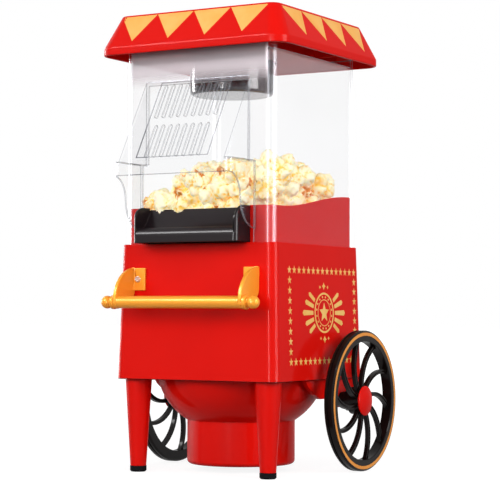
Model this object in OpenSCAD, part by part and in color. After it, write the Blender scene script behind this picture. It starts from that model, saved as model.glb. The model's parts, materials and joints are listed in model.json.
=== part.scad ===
// Cart-shaped hot-air popcorn maker: a tapered housing on two front legs and two
// rear wheels, a bowl-shaped fan housing below, a clear cover with a vented chute
// hood, a black spout, and a lift-off roof that stores the kernel cup.
// Millimetres. Z is up, the handle faces -Y, and the ground is z = 0.

/* [Housing] */
// Height of the housing's lower edge above the ground
housing_z = 87.2; // [82:0.1:95]
// Height of the housing's walls
housing_h = 126.4; // [120:0.1:140]
// Width and depth of the housing at its lower edge
housing_w_bottom = 174.3; // [170:0.1:190]
// Width and depth of the housing at its upper edge
housing_w_top = 167.4; // [160:0.1:169]
// Wall thickness of the housing
wall = 2.1; // [1.8:0.1:2.6]
// Radius of the upright corners of the housing
corner_r = 9; // [6:0.5:12]
// Thickness of the housing's floor
floor_t = 2.5; // [2:0.1:4]
// Depth from the rim to the ledge that carries the cover and the liner
seat_depth = 6; // [4:0.5:9]
// Width of that ledge
ledge_w = 9; // [6:0.5:12]

/* [Bowl and intake drum] */
// Largest radius of the bowl-shaped fan housing
bowl_r = 80; // [76:0.5:81]
// Depth of the bowl's curve, from its widest level to its pole
bowl_depth = 62.3; // [60:0.1:70]
// Height of the bowl's widest level above the housing's lower edge
bowl_rise = 7.8; // [4:0.1:12]
// Wall thickness of the bowl and the drum
bowl_wall = 2.5; // [2:0.1:3]
// Outer radius of the intake drum
drum_r = 51.5; // [48:0.1:53]
// Height of the drum's top edge above the ground
drum_top = 48.2; // [46:0.1:52]
// Clearance between the drum's bottom and the ground
drum_clear = 6; // [4:0.5:9]
// Radius of the drum's rounded lower edge
drum_edge_r = 4; // [3:0.5:6]
// Thickness of the intake grille
grille_t = 2; // [1.5:0.1:3]
// Number of ribs that cross the grille's ring slots
grille_ribs = 6; // [4:1:9]

/* [Legs and feet] */
// Distance from the housing's side to a leg's axis
leg_inset = 16.55; // [15:0.05:19]
// Diameter of a leg at its top
leg_d_top = 25; // [20:0.5:26]
// Diameter of a leg at its lower end
leg_d_bottom = 15; // [14:0.5:18]
// Height of a rubber foot below the leg
foot_h = 5.5; // [4:0.5:8]
// Diameter of a rubber foot
foot_d = 15.6; // [13:0.1:17]
// Radius of the stud that holds a foot in its leg
foot_stud_r = 3.5; // [2.5:0.1:4.5]
// Length of that stud
foot_stud_l = 9; // [6:0.5:12]

/* [Wheels] */
// Radius of a wheel, which is also its axle's height
wheel_r = 66.7; // [62:0.1:68]
// Distance from the plan centre back to the axle
axle_y = 46.4; // [42:0.1:52]
// Gap between the housing's side and a wheel
wheel_gap = 12.9; // [11:0.1:18]
// Width of the wheel's rim
rim_w = 9.8; // [8:0.1:13]
// Radial thickness of the rim
rim_t = 10.4; // [8:0.1:11]
// Inner radius of the gold ring, short of the wheel's radius
ring_inset = 5; // [4.9:0.1:6.5]
// Radial width of the gold ring
ring_w = 3; // [2.2:0.1:3.2]
// Depth of the gold ring in the rim's face
ring_t = 1.2; // [0.8:0.1:2]
// Number of swirl spokes
spokes = 10; // [8:1:12]
// Width of a spoke
spoke_w = 3.8; // [3.5:0.1:5.5]
// Depth of a spoke along the axle
spoke_t = 4; // [4:0.5:7]
// Bend radius of a spoke
spoke_bend = 43; // [38:1:50]
// Radius of the wheel's hub
hub_r = 13; // [11:0.5:14]
// Radius of the red hub cap
cap_r = 14.1; // [12.5:0.1:16]
// Height of the hub cap's dome
cap_h = 3.3; // [2.5:0.1:5]
// Radius of a stub axle
axle_r = 3; // [2.5:0.1:4]
// Running clearance between a hub and its stub axle
axle_play = 0.06; // [0.04:0.01:0.1]

/* [Axle brackets] */
// Thickness of a bracket's plate
lug_t = 4; // [3:0.5:4.5]
// Height of the bracket's plate below the housing
lug_h = 18.2; // [16:0.1:24]
// Rear end of the bracket behind the axle
lug_rear = 37; // [30:1:38]
// Front end of the bracket's level edge ahead of the axle
lug_front = 42; // [38:1:46]
// Length of the bracket's sloping nose
lug_nose = 30; // [20:1:34]
// Radius of the boss around a stub axle
lug_boss_r = 7; // [6:0.5:8.5]
// Length of that boss inside the plate
lug_boss_l = 10; // [8:0.5:11]

/* [Handle] */
// Height of the bracket plates' centre above the housing's lower edge
plate_rise = 93.5; // [85:0.5:105]
// Distance between the outer edges of the two bracket plates
plate_span = 138; // [120:1:144]
// Width of a bracket plate
plate_w = 15.5; // [13:0.5:18]
// Height of a bracket plate
plate_h = 21; // [18:0.5:26]
// Thickness of a bracket plate
plate_t = 2.6; // [2:0.1:4]
// Thickness of the curved fin of a bracket
fin_t = 3.4; // [2.5:0.1:5]
// Distance of the bar's axis in front of the housing's face
bar_reach = 26.5; // [22:0.5:32]
// Drop of the bar's axis below the plates' centre
bar_drop = 22.3; // [18:0.1:26]
// Diameter of the bar
bar_d = 11.4; // [10:0.1:13]
// Diameter of the bar's tenon in a bracket's eye
tenon_d = 6; // [5:0.1:7]
// Width of the collar on a knob
collar_w = 4; // [3:0.1:6]
// Diameter of the collar on a knob
collar_d = 13; // [12:0.1:15]
// Diameter of the ball of a knob
ball_d = 12; // [10:0.1:13.5]

/* [Clear cover] */
// Height of the clear cover from its seat to its top edge
cover_h = 190.4; // [175:0.1:200]
// Wall thickness of the clear cover
cover_wall = 2.2; // [1.8:0.1:2.6]
// Radius of the cover's upright corners
cover_corner_r = 9.5; // [8:0.5:12]
// Depth from the cover's top edge to its ceiling's upper face
ceiling_drop = 7.8; // [7:0.1:12]
// Half width of the cover's front mouth
mouth_half = 54; // [50:0.5:55]

/* [Chute hood] */
// Depth from the cover's top edge to the hood's top edge
hood_top_drop = 32; // [26:0.5:40]
// Height of the hood's slanted panel
hood_h = 78; // [70:0.5:84]
// Reach of the hood in front of the cover
hood_reach = 43.2; // [38:0.1:50]
// Half width of the hood
hood_half = 56.8; // [56:0.1:60]
// Wall thickness of the hood
hood_wall = 1.8; // [1.5:0.1:2.2]
// Step of the ledge outwards below the slanted panel
step_out = 6; // [4:0.5:8]
// Height of the front band below the ledge
band_h = 13; // [10:0.5:18]
// Height of the skirt's sides below the ledge
skirt_h = 62; // [54:0.5:64]
// Width of a vent slot
slot_w = 3; // [2.4:0.1:3.4]
// Radius of the hood's front corners below the slanted panel
hood_corner_r = 6; // [4:0.5:8]
// Height of the raised field around the vent slots
field_t = 0.6; // [0.4:0.1:0.8]
// Width of that field beside the outermost slots
field_margin = 5; // [4:0.5:8]
// Pitch of the vent slots
slot_pitch = 8; // [6.5:0.1:8.2]
// Number of slots in the upper row
slots_upper = 9; // [7:1:9]
// Number of slots in the lower row
slots_lower = 8; // [6:1:9]
// Length of an upper slot
slot_upper_l = 37; // [28:1:38]
// Length of a lower slot
slot_lower_l = 35; // [26:1:35]
// Distance of the upper slots below the hood's top edge, along the panel
slot_start = 5.5; // [4:0.5:7]
// Gap between the two rows of slots
slot_gap = 9; // [4:0.5:9]

/* [Liner and spout] */
// Wall thickness of the red liner
liner_wall = 2; // [1.6:0.1:2.4]
// Height of the liner's front edge above the housing's rim
liner_front = 34; // [32:0.5:40]
// Height of the liner's rear edge above the housing's rim
liner_rear = 49; // [44:0.5:60]
// Half width of the spout
spout_half = 56; // [50:0.5:56.5]
// Reach of the spout in front of the liner
spout_reach = 26; // [22:0.5:30]
// Height of the spout's front lip
lip_h = 14.5; // [12:0.5:18]
// Height of the spout's rear edge
spout_h = 32; // [28:0.5:32.5]
// Wall thickness of the spout
spout_wall = 3; // [2.4:0.1:4]
// Radius of the roll along the spout's front lip
roll_r = 3.4; // [2.6:0.1:4]
// Radius of the upper front corner of the spout's cheeks
cheek_r = 15.5; // [8:0.5:17]
// Radius of the spout's upright front corners
spout_corner_r = 4.5; // [2:0.5:6]

/* [Roof] */
// Height of the roof
roof_h = 38.4; // [34:0.1:46]
// Width of the roof's flat top
roof_w_top = 171.5; // [160:0.1:176]
// Overhang of the roof past the cover on each side
roof_overhang = 18.8; // [14:0.1:22]
// Height of the upright band along the roof's lower edge
roof_band = 6.8; // [4.5:0.1:8]
// Wall thickness of the roof
roof_wall = 2.4; // [2:0.1:3]
// Radius of the roof's corners at its lower edge
roof_corner_r = 16; // [12:0.5:20]
// Depth of the cover's top edge inside the roof
roof_lap = 6.4; // [6:0.1:9]

/* [Kernel cup] */
// Outer radius of the cup
cup_r = 40; // [36:0.5:42]
// Wall thickness of the cup
cup_wall = 1.8; // [1.5:0.1:2.2]
// Depth of the cup below the roof's lower edge
cup_drop = 35; // [30:0.5:44]
// Height of the cup above the roof's lower edge
cup_top = 16; // [12:0.5:22]
// Distance of the cup's axis in front of the plan centre
cup_forward = 19.5; // [15:0.5:22]

/* [Popping chamber and heater] */
// Inner radius of the popping chamber
chamber_r = 45; // [41:0.5:46]
// Depth of the popping chamber
chamber_depth = 76; // [70:1:84]
// Sheet thickness of the chamber and the air tube
sheet_t = 1.2; // [1:0.1:1.6]
// Number of louvres in the chamber's wall
louvres = 24; // [16:1:28]
// Height of a louvre
louvre_h = 12; // [8:0.5:15]
// Width of a louvre's slit
louvre_w = 2; // [1.4:0.1:2.6]
// Slant of the louvres to the radius
louvre_angle = 55; // [40:1:62]
// Outer radius of the air tube around the chamber
tube_r = 54; // [52:0.5:58]
// Height of the mica cards
card_h = 30; // [26:1:34]
// Thickness of a mica card
card_t = 1; // [0.8:0.1:1.5]
// Radius of the heating coil's turns
coil_r = 2; // [1.5:0.1:2.5]
// Number of the coil's turns
coil_count = 3; // [2:1:3]
// Radius of the innermost turn
coil_first = 18; // [12:0.5:20]
// Distance between two turns
coil_pitch = 11; // [8:0.5:14]

/* [Fan and motor] */
// Radius of the fan
fan_r = 46; // [42:0.5:47]
// Height of the fan's vanes
vane_h = 10; // [8:0.5:11]
// Number of vanes on the fan
vanes = 12; // [8:1:14]
// Radius of the motor's can
motor_r = 18; // [16:0.5:20]
// Length of the motor's can
motor_l = 50; // [42:1:54]
// Radius of the motor's shaft
shaft_r = 1.6; // [1.5:0.05:2.5]

/* [Rear switch and cord inlet] */
// Height of the switch's centre above the housing's lower edge
switch_rise = 40; // [30:1:60]
// Distance of the switch from the plan centre, to the left seen from behind
switch_x = 45; // [35:1:55]
// Width of the switch's frame
switch_w = 15; // [13:0.5:18]
// Height of the switch's frame
switch_h = 21; // [19:0.5:26]
// Travel of the rocker between its two positions, in degrees
rocker_travel = 14; // [8:1:16]
// Outer radius of the cord inlet's flange
inlet_r = 8; // [7:0.5:10]
// Radius of the cord inlet's hole
inlet_hole_r = 3.6; // [3:0.1:4.2]

/* [Fasteners] */
// Radius of the screws in the housing, the bowl and the handle
screw_r = 1.7; // [1.5:0.05:1.9]
// Radius of their heads
head_r = 3.1; // [2.9:0.1:3.5]
// Height of their heads
head_t = 1.8; // [1.4:0.1:2.4]
// Radius of the heads in the liner's corners
liner_head_r = 2.8; // [2.6:0.1:2.9]
// Depth of a leg screw in its leg
leg_screw_bite = 12; // [8:0.5:14]
// Depth of a bowl screw in its boss
bowl_screw_bite = 10; // [7:0.5:11]
// Length of a handle screw inside the housing's wall
handle_screw_end = 5; // [3:0.5:7]
// Length of a bracket screw below the bracket's flange
bracket_screw_end = 2; // [1:0.5:3]

/* [Hidden] */

$fn = 64;
red = [0.86, 0.09, 0.06];
gold = [0.93, 0.64, 0.22];
black = [0.12, 0.11, 0.12];
clear = [0.85, 0.9, 0.95, 0.4];
steel = [0.72, 0.73, 0.75];
smoke = [0.35, 0.32, 0.36, 0.7];

// Clearance between pieces that are seated but not fixed by a fit
gap = 0.3;
// Overshoot of a cutting shape past the face it cuts
eps = 1;
// Facets of a circle inside a hull
hull_fn = 32;

// Housing
half_bottom = housing_w_bottom / 2;
// The pieces are drawn about the housing's centre; the part's origin is the middle of its
// whole depth, from the hood's nose to the back of the wheels
centre_y = (housing_w_top / 2 - wall - gap + hood_reach + hood_wall - axle_y - wheel_r) / 2;
half_top = housing_w_top / 2;
rim_z = housing_z + housing_h;
tilt = atan((half_bottom - half_top) / housing_h);
ledge_z = rim_z - seat_depth;
ledge_t = 2.2;
function half_at(z) = half_bottom - (z - housing_z) * tan(tilt);

// Bowl and drum
bowl_mid = housing_z + bowl_rise;
function bowl_radius(z, inset = 0) =
    (bowl_r - inset) * sqrt(1 - pow((bowl_mid - z) / (bowl_depth - inset), 2));
bowl_screw_r = bowl_r - 10;
boss_h = bowl_screw_bite + 4;
lip_r = drum_r - bowl_wall - 5;
lip_t = 2.5;
drum_floor_r = drum_r - bowl_wall - 7;
grille_r = drum_r - bowl_wall - gap - 1;
grille_z = drum_clear + bowl_wall;

// Legs and wheels
leg_x = half_bottom - leg_inset;
leg_screw_r = 1.8;
lug_out = half_bottom - 3.15;
wheel_in = half_bottom + wheel_gap;
wheel_out = wheel_in + rim_w;
rim_in_r = wheel_r - rim_t;
ring_in_r = wheel_r - ring_inset;
ring_out_r = ring_in_r + ring_w;
barrel_r = axle_r + 5;
barrel_step = 2;
// Side play between a bracket and the inner end of a wheel's hub
hub_play = 0.8;
hub_reach = wheel_in - lug_out - hub_play;
// Depth of the hub's face below the rim's face, and the thickness of the cap's rim on it
hub_dip = 1.4;
cap_rim_t = hub_dip - gap;

// Brackets under the housing
lug_in = lug_out - lug_t;
lug_z = housing_z - lug_h;
lug_screw_y = [axle_y + lug_boss_r + 2, axle_y + lug_rear - 8];
flange_w = 12;
flange_t = 3;

// Handle
plate_z = housing_z + plate_rise;
plate_out = plate_span / 2;
fin_in = plate_out - fin_t;

// Cover, roof and cup
cover_half = half_top - wall - gap;
cover_top = ledge_z + cover_h;
ceiling_z = cover_top - ceiling_drop;
roof_z = cover_top - roof_lap;
roof_half = cover_half + roof_overhang;
roof_top_half = roof_w_top / 2;
cup_z = roof_z - cup_drop;
cup_rim_z = roof_z + cup_top;
cup_play = 0.8;
socket_t = 2;

// Hood, measured in the plane of the cover's front
front = -cover_half;
hood_top_z = cover_top - hood_top_drop;
step_z = hood_top_z - hood_h;
skirt_half = hood_half + step_out;
skirt_z = step_z - skirt_h;
hood_nose = front - hood_reach - hood_wall;
hood_slope = atan((front - hood_nose) / hood_h);
panel_l = hood_h / cos(hood_slope);
field_half = (slots_upper - 1) / 2 * slot_pitch + slot_w / 2 + field_margin;

// Liner and chamber
liner_half = cover_half - cover_wall - 0.6;
spout_nose = -liner_half - spout_reach;
liner_floor = ledge_z + liner_wall;
liner_screw_at = liner_half - liner_wall - liner_head_r - 0.8;
chamber_top = liner_floor + sheet_t;
chamber_z = chamber_top - chamber_depth;
tube_in = tube_r - sheet_t;
tube_z = housing_z - 2.5;
card_z = housing_z + 5;
coil_z = card_z + card_h / 2;
coil_turns = [for (i = [0 : coil_count - 1]) coil_first + i * coil_pitch];

// Motor and fan, stacked down from the air tube
fan_top = tube_z - 1.2;
fan_z = fan_top - vane_h - 1;
mount_t = 2;
motor_top = fan_z - mount_t - 2.4;
boss_r = 6;
mount_ring_z = drum_top + lip_t;

// Rear switch and inlet
switch_z = housing_z + switch_rise;
bezel_t = 1.8;
rocker_pin_r = 1.2;
inlet_z = housing_z + 16;

// ---------- shared shapes ----------

// Moves a piece from the housing's centre to the part's own origin
module placed() {
    translate([0, centre_y, 0])
        children();
}

module rounded_square(half, r) {
    square([2 * half, 2 * (half - r)], center = true);
    square([2 * (half - r), 2 * half], center = true);
    for (x = [-1, 1], y = [-1, 1])
        translate([x * (half - r), y * (half - r)])
            circle(r = r);
}

module rounded_box(half, r, z0, z1) {
    translate([0, 0, z0])
        linear_extrude(z1 - z0)
            rounded_square(half, r);
}

// Box whose half width runs from h0 at z0 to h1 at z1, with round upright corners
module tapered_box(h0, h1, r0, r1, z0, z1) {
    skin = 0.01;
    hull() {
        for (x = [-1, 1], y = [-1, 1]) {
            translate([x * (h0 - r0), y * (h0 - r0), z0])
                cylinder(r = r0, h = skin, $fn = hull_fn);
            translate([x * (h1 - r1), y * (h1 - r1), z1 - skin])
                cylinder(r = r1, h = skin, $fn = hull_fn);
        }
    }
}

module ring(r_out, r_in, h) {
    difference() {
        cylinder(r = r_out, h = h);
        translate([0, 0, -eps])
            cylinder(r = r_in, h = h + 2 * eps);
    }
}

// Places children on the housing's sloping front, local -Y pointing outwards
module on_front(z) {
    translate([0, -half_at(z), z])
        rotate([-tilt, 0, 0])
            children();
}

module on_rear(z) {
    mirror([0, 1, 0])
        on_front(z)
            children();
}

module both_sides() {
    children();
    mirror([1, 0, 0])
        children();
}

// Pan-head screw along +Z, its head's seat at z = 0 and a cross slot in the head
module pan_screw(r, length, hr, ht) {
    slot = hr * 0.32;
    translate([0, 0, -length])
        cylinder(r = r, h = length);
    difference() {
        cylinder(r1 = hr, r2 = hr * 0.78, h = ht, $fn = 32);
        for (a = [0, 90])
            rotate([0, 0, a])
                translate([-hr * 0.6, -slot / 2, ht * 0.4])
                    cube([hr * 1.2, slot, ht]);
    }
}

// ---------- housing, bowl and drum ----------

module base_housing() {
    color(red)
        difference() {
            tapered_box(half_bottom, half_top, corner_r, corner_r, housing_z, rim_z);
            housing_cavity();
            rounded_box(cover_half + gap, cover_corner_r, ledge_z, rim_z + eps);
            rounded_box(half_top - wall - ledge_w, cover_corner_r - 4,
                        housing_z + floor_t, rim_z);
            translate([0, 0, housing_z - eps])
                cylinder(r = tube_r + gap, h = floor_t + 2 * eps);
            both_sides()
                housing_side_holes();
            bowl_screw_places()
                screw_hole(screw_r, housing_z);
            liner_screw_places()
                translate([0, 0, ledge_z - ledge_t - eps])
                    cylinder(r = screw_r + 0.05, h = ledge_t + 2 * eps);
            on_front(plate_z)
                both_sides()
                    translate([plate_out - plate_w / 2, 0, 0])
                        rotate([90, 0, 0])
                            cylinder(r = screw_r + 0.05, h = 4 * wall, center = true);
            on_rear(switch_z)
                translate([switch_x, 0, 0])
                    cube([switch_w - 2, 4 * wall, switch_h - 2], center = true);
            on_rear(inlet_z)
                translate([-switch_x, 0, 0])
                    rotate([90, 0, 0])
                        cylinder(r = inlet_hole_r + 2.2, h = 4 * wall, center = true);
        }
}

// The hollow between the floor and the ledge under the rim
module housing_cavity() {
    z0 = housing_z + floor_t;
    z1 = ledge_z - ledge_t;
    tapered_box(half_at(z0) - wall, half_at(z1) - wall, corner_r - wall,
                corner_r - wall, z0, z1);
}

module housing_side_holes() {
    translate([leg_x, -leg_x, 0])
        screw_hole(leg_screw_r, housing_z);
    for (y = lug_screw_y)
        translate([lug_in - flange_w / 2, y, 0])
            screw_hole(screw_r, housing_z);
}

module screw_hole(r, z) {
    translate([0, 0, z - eps])
        cylinder(r = r + 0.05, h = floor_t + 2 * eps);
}

module bowl_screw_places() {
    for (a = [45 : 90 : 315])
        rotate([0, 0, a])
            translate([bowl_screw_r, 0, 0])
                children();
}

bowl_steps = 14;
function bowl_arc(inset, z0, z1) = [
    for (i = [0 : bowl_steps])
        let (z = z0 + (z1 - z0) * i / bowl_steps)
            [bowl_radius(z, inset), z]
];

module lower_bowl() {
    outer = bowl_arc(0, drum_top, housing_z);
    inner = bowl_arc(bowl_wall, housing_z - 3, mount_ring_z);
    rim = bowl_radius(housing_z - 3, bowl_wall);
    color(red)
        difference() {
            union() {
                rotate_extrude()
                    polygon(concat(outer, [[rim, housing_z]], inner,
                                   [[lip_r, mount_ring_z], [lip_r, drum_top]]));
                bowl_bosses();
            }
            bowl_screw_places()
                translate([0, 0, housing_z - bowl_screw_bite - 2])
                    cylinder(r = screw_r + 0.05, h = bowl_screw_bite + 2 + eps);
            motor_screw_places()
                translate([0, 0, drum_top - eps])
                    cylinder(r = screw_r + 0.05, h = lip_t + 2 * eps);
        }
}

// Screw bosses that stand inside the bowl's rim
module bowl_bosses() {
    intersection() {
        bowl_screw_places()
            translate([0, 0, housing_z - boss_h])
                cylinder(r = 7.5, h = boss_h);
        difference() {
            rotate_extrude()
                polygon(concat([[0, drum_top]], bowl_arc(0.5, drum_top, housing_z),
                               [[0, housing_z]]));
            translate([0, 0, housing_z - boss_h - eps])
                cylinder(r = tube_r + 4, h = boss_h + 2 * eps);
        }
    }
}

module intake_drum() {
    color(red)
        difference() {
            rotate_extrude()
                polygon(concat(
                    [[drum_floor_r, drum_clear]],
                    [for (a = [-90 : 10 : 0])
                        [drum_r - drum_edge_r + drum_edge_r * cos(a),
                         drum_clear + drum_edge_r + drum_edge_r * sin(a)]],
                    [[drum_r, drum_top], [drum_r - bowl_wall, drum_top],
                     [drum_r - bowl_wall, grille_z], [drum_floor_r, grille_z]]));
            grille_screw_places()
                translate([0, 0, drum_clear - eps])
                    cylinder(r = 1.25, h = bowl_wall + 2 * eps);
        }
}

module grille_screw_places() {
    for (a = [30 : 120 : 270])
        rotate([0, 0, a])
            translate([(drum_floor_r + grille_r) / 2, 0, 0])
                children();
}

// Ring slots crossed by radial ribs, and a solid disc in the middle
module intake_grille() {
    pitch = (drum_floor_r - 12) / 4;
    color(black)
        translate([0, 0, grille_z])
            difference() {
                cylinder(r = grille_r, h = grille_t);
                difference() {
                    for (i = [0 : 3])
                        translate([0, 0, -eps])
                            ring(12 + pitch * (i + 1) - 2.5, 12 + pitch * i + 1, grille_t + 2 * eps);
                    for (i = [0 : grille_ribs - 1])
                        rotate([0, 0, i * 360 / grille_ribs])
                            translate([0, -1.5, -2 * eps])
                                cube([grille_r, 3, grille_t + 4 * eps]);
                }
                grille_screw_places()
                    translate([0, 0, -eps])
                        cylinder(r = 1.3, h = grille_t + 2 * eps);
            }
}

// ---------- legs, feet and axle brackets ----------

module front_leg(side) {
    pocket_r = foot_stud_r + 0.05;
    color(red)
        translate([side * leg_x, -leg_x, 0])
            difference() {
                translate([0, 0, foot_h])
                    cylinder(r1 = leg_d_bottom / 2, r2 = leg_d_top / 2, h = housing_z - foot_h);
                translate([0, 0, foot_h - eps])
                    cylinder(r = pocket_r, h = foot_stud_l + gap + eps);
                translate([0, 0, housing_z - leg_screw_bite - 4])
                    cylinder(r = leg_screw_r + 0.05, h = leg_screw_bite + 4 + eps);
            }
}

module foot(side) {
    edge = 1.2;
    color(black)
        translate([side * leg_x, -leg_x, 0]) {
            rotate_extrude()
                polygon([[0, 0], [foot_d / 2 - edge, 0], [foot_d / 2, edge],
                         [foot_d / 2, foot_h], [0, foot_h]]);
            translate([0, 0, foot_h])
                cylinder(r = foot_stud_r, h = foot_stud_l);
        }
}

// A plate with a sloping nose, a screw flange under the floor and a boss for the axle
module axle_bracket(side) {
    nose = axle_y - lug_front;
    color(red)
        mirror([side < 0 ? 1 : 0, 0, 0])
            difference() {
                union() {
                    translate([lug_in, 0, 0])
                        rotate([90, 0, 90])
                            linear_extrude(lug_t)
                                polygon([[nose - lug_nose, housing_z],
                                         [nose - lug_nose * 0.8, housing_z - lug_h * 0.35],
                                         [nose - lug_nose * 0.4, housing_z - lug_h * 0.75],
                                         [nose, lug_z], [axle_y + lug_rear, lug_z],
                                         [axle_y + lug_rear, housing_z]]);
                    for (y = lug_screw_y)
                        translate([lug_in - flange_w, y - 7, housing_z - flange_t])
                            cube([flange_w + 1, 14, flange_t]);
                    translate([lug_out, axle_y, wheel_r])
                        rotate([0, -90, 0])
                            cylinder(r = lug_boss_r, h = lug_t + lug_boss_l);
                    for (y = [-1, 1])
                        translate([lug_in - lug_boss_l, axle_y + y * (lug_boss_r - 2) - 1, wheel_r])
                            cube([lug_boss_l + 1, 2, housing_z - wheel_r]);
                }
                translate([lug_out + eps, axle_y, wheel_r])
                    rotate([0, -90, 0])
                        cylinder(r = axle_r + 0.02, h = lug_t + lug_boss_l + 2 * eps);
                for (y = lug_screw_y)
                    translate([lug_in - flange_w / 2, y, housing_z - flange_t - eps])
                        cylinder(r = screw_r + 0.05, h = flange_t + 2 * eps);
            }
}

// A plain steel pin with a head at its inner end
module stub_axle(side) {
    length = wheel_out - 2 - (lug_in - lug_boss_l);
    color(steel)
        mirror([side < 0 ? 1 : 0, 0, 0])
            translate([lug_in - lug_boss_l, axle_y, wheel_r])
                rotate([0, 90, 0]) {
                    cylinder(r = axle_r, h = length);
                    translate([0, 0, -2])
                        cylinder(r = axle_r + 2, h = 2);
                }
}

// ---------- wheels ----------
// A wheel is drawn about the Z axis with its outer face at z = 0, then turned onto the axle

module on_axle(side) {
    mirror([side < 0 ? 1 : 0, 0, 0])
        translate([wheel_out, axle_y, wheel_r])
            rotate([90, 0, 90])
                children();
}

// Centre line of one spoke: it leaves the hub radially and bends clockwise to the rim
module spoke_band(width) {
    start = hub_r - 2;
    intersection() {
        translate([spoke_bend, start])
            difference() {
                circle(r = spoke_bend + width / 2, $fn = 128);
                circle(r = spoke_bend - width / 2, $fn = 128);
            }
        translate([-spoke_bend, start])
            square([2 * spoke_bend, wheel_r]);
        circle(r = rim_in_r + 1, $fn = 128);
    }
}

module wheel(side) {
    groove = 1;
    groove_w = 1.6;
    color(black)
        on_axle(side)
            difference() {
                union() {
                    rotate_extrude($fn = 128)
                        polygon([[rim_in_r, -rim_w], [wheel_r - 1.5, -rim_w], [wheel_r, -rim_w + 1.5],
                                 [wheel_r, -rim_w / 2 - groove_w], [wheel_r - groove, -rim_w / 2 - groove_w],
                                 [wheel_r - groove, -rim_w / 2], [wheel_r, -rim_w / 2],
                                 [wheel_r, -1.5], [wheel_r - 1.5, 0], [ring_out_r + 0.15, 0],
                                 [ring_out_r + 0.15, -ring_t - 0.05], [ring_in_r - 0.15, -ring_t - 0.05],
                                 [ring_in_r - 0.15, 0], [rim_in_r + 0.6, 0], [rim_in_r, -0.6]]);
                    translate([0, 0, -rim_w / 2 - spoke_t / 2])
                        linear_extrude(spoke_t)
                            for (i = [0 : spokes - 1])
                                rotate(i * 360 / spokes)
                                    spoke_band(spoke_w);
                    hub_barrel();
                }
                spoke_groove();
                translate([0, 0, -rim_w - hub_reach - eps])
                    cylinder(r = axle_r + axle_play, h = rim_w + hub_reach + 2 * eps);
            }
}

// Stepped hub that reaches from the outer face towards the bracket
module hub_barrel() {
    mid = -rim_w - hub_reach * 0.6;
    outer = -rim_w - hub_reach * 0.25;
    rotate_extrude()
        polygon([[0, -rim_w - hub_reach], [barrel_r, -rim_w - hub_reach], [barrel_r, mid],
                 [barrel_r + barrel_step, mid], [barrel_r + barrel_step, outer],
                 [hub_r, outer], [hub_r, -hub_dip], [0, -hub_dip]]);
}

// Shallow channel along the outer face of each spoke
module spoke_groove() {
    depth = 1;
    translate([0, 0, -rim_w / 2 + spoke_t / 2 - depth])
        linear_extrude(depth + 0.5)
            difference() {
                for (i = [0 : spokes - 1])
                    rotate(i * 360 / spokes)
                        spoke_band(spoke_w * 0.42);
                circle(r = hub_r);
                difference() {
                    circle(r = wheel_r);
                    circle(r = rim_in_r);
                }
            }
}

module trim_ring(side) {
    color(gold)
        on_axle(side)
            translate([0, 0, -ring_t])
                difference() {
                    cylinder(r = ring_out_r, h = ring_t, $fn = 128);
                    translate([0, 0, -eps])
                        cylinder(r = ring_in_r, h = ring_t + 2 * eps, $fn = 128);
                }
}

// Domed cap with a short skirt that seats on the hub's face
module hub_cap(side) {
    dome_r = (cap_r * cap_r + cap_h * cap_h) / (2 * cap_h);
    span = asin(cap_r / dome_r);
    color(red)
        on_axle(side)
            rotate_extrude()
                polygon(concat(
                    [[0, -cap_rim_t], [cap_r, -cap_rim_t]],
                    [for (i = [0 : 8])
                        let (a = span * (1 - i / 8))
                            [dome_r * sin(a), cap_h - dome_r + dome_r * cos(a)]]));
}

// ---------- liner and spout ----------

function liner_edge(y) =
    let (t = min(1, max(0, (y / liner_half + 0.8) / 1.74)))
        rim_z + liner_front + (liner_rear - liner_front) * (1 - cos(180 * t)) / 2;

// Tray with a floor around the chamber's mouth and walls that rise to the rear
module inner_liner() {
    steps = 16;
    top = [for (i = [0 : steps])
        let (y = -liner_half - eps + 2 * (liner_half + eps) * i / steps)
            [y, liner_edge(y)]];
    color(red)
        difference() {
            rounded_box(liner_half, cover_corner_r - cover_wall - 0.6, ledge_z, rim_z + liner_rear);
            rounded_box(liner_half - liner_wall, cover_corner_r - cover_wall - 2.6,
                        liner_floor, rim_z + liner_rear + eps);
            translate([0, 0, ledge_z - eps])
                cylinder(r = chamber_r + sheet_t + gap, h = liner_wall + 2 * eps);
            translate([-liner_half - eps, 0, 0])
                rotate([90, 0, 90])
                    linear_extrude(2 * (liner_half + eps))
                        polygon(concat(top, [[liner_half + eps, rim_z + liner_rear + eps],
                                             [-liner_half - eps, rim_z + liner_rear + eps]]));
            spout_slot();
            liner_screw_places()
                translate([0, 0, ledge_z - eps])
                    cylinder(r = screw_r + 0.05, h = liner_wall + 2 * eps);
        }
}

// Cut in the liner's front wall that the spout's neck plugs into
module spout_slot() {
    half = spout_half - spout_wall / 2 + gap;
    translate([-half, -liner_half - eps, rim_z])
        cube([2 * half, liner_wall + 2 * eps, liner_rear]);
}

module liner_screw_places() {
    for (x = [-1, 1], y = [-1, 1])
        translate([x * liner_screw_at, y * liner_screw_at, 0])
            children();
}

// Section of the spout in (y, z): a rolled front lip, and a concave ramp that rises to the rear
function spout_lip() = [
    for (a = [180 : -20 : 20])
        [spout_nose + roll_r + roll_r * cos(a), rim_z + gap + lip_h - roll_r + roll_r * sin(a)]
];
ramp_steps = 8;
function spout_ramp() =
    let (y0 = spout_nose + 2 * roll_r + 0.4, y1 = -liner_half + 1,
         z0 = rim_z + gap + lip_h - roll_r - 0.6, z1 = rim_z + gap + spout_h)
        [for (i = [0 : ramp_steps])
            let (t = i / ramp_steps)
                [y0 + (y1 - y0) * t, z0 + (z1 - z0) * pow(t, 1.7)]];

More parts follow.
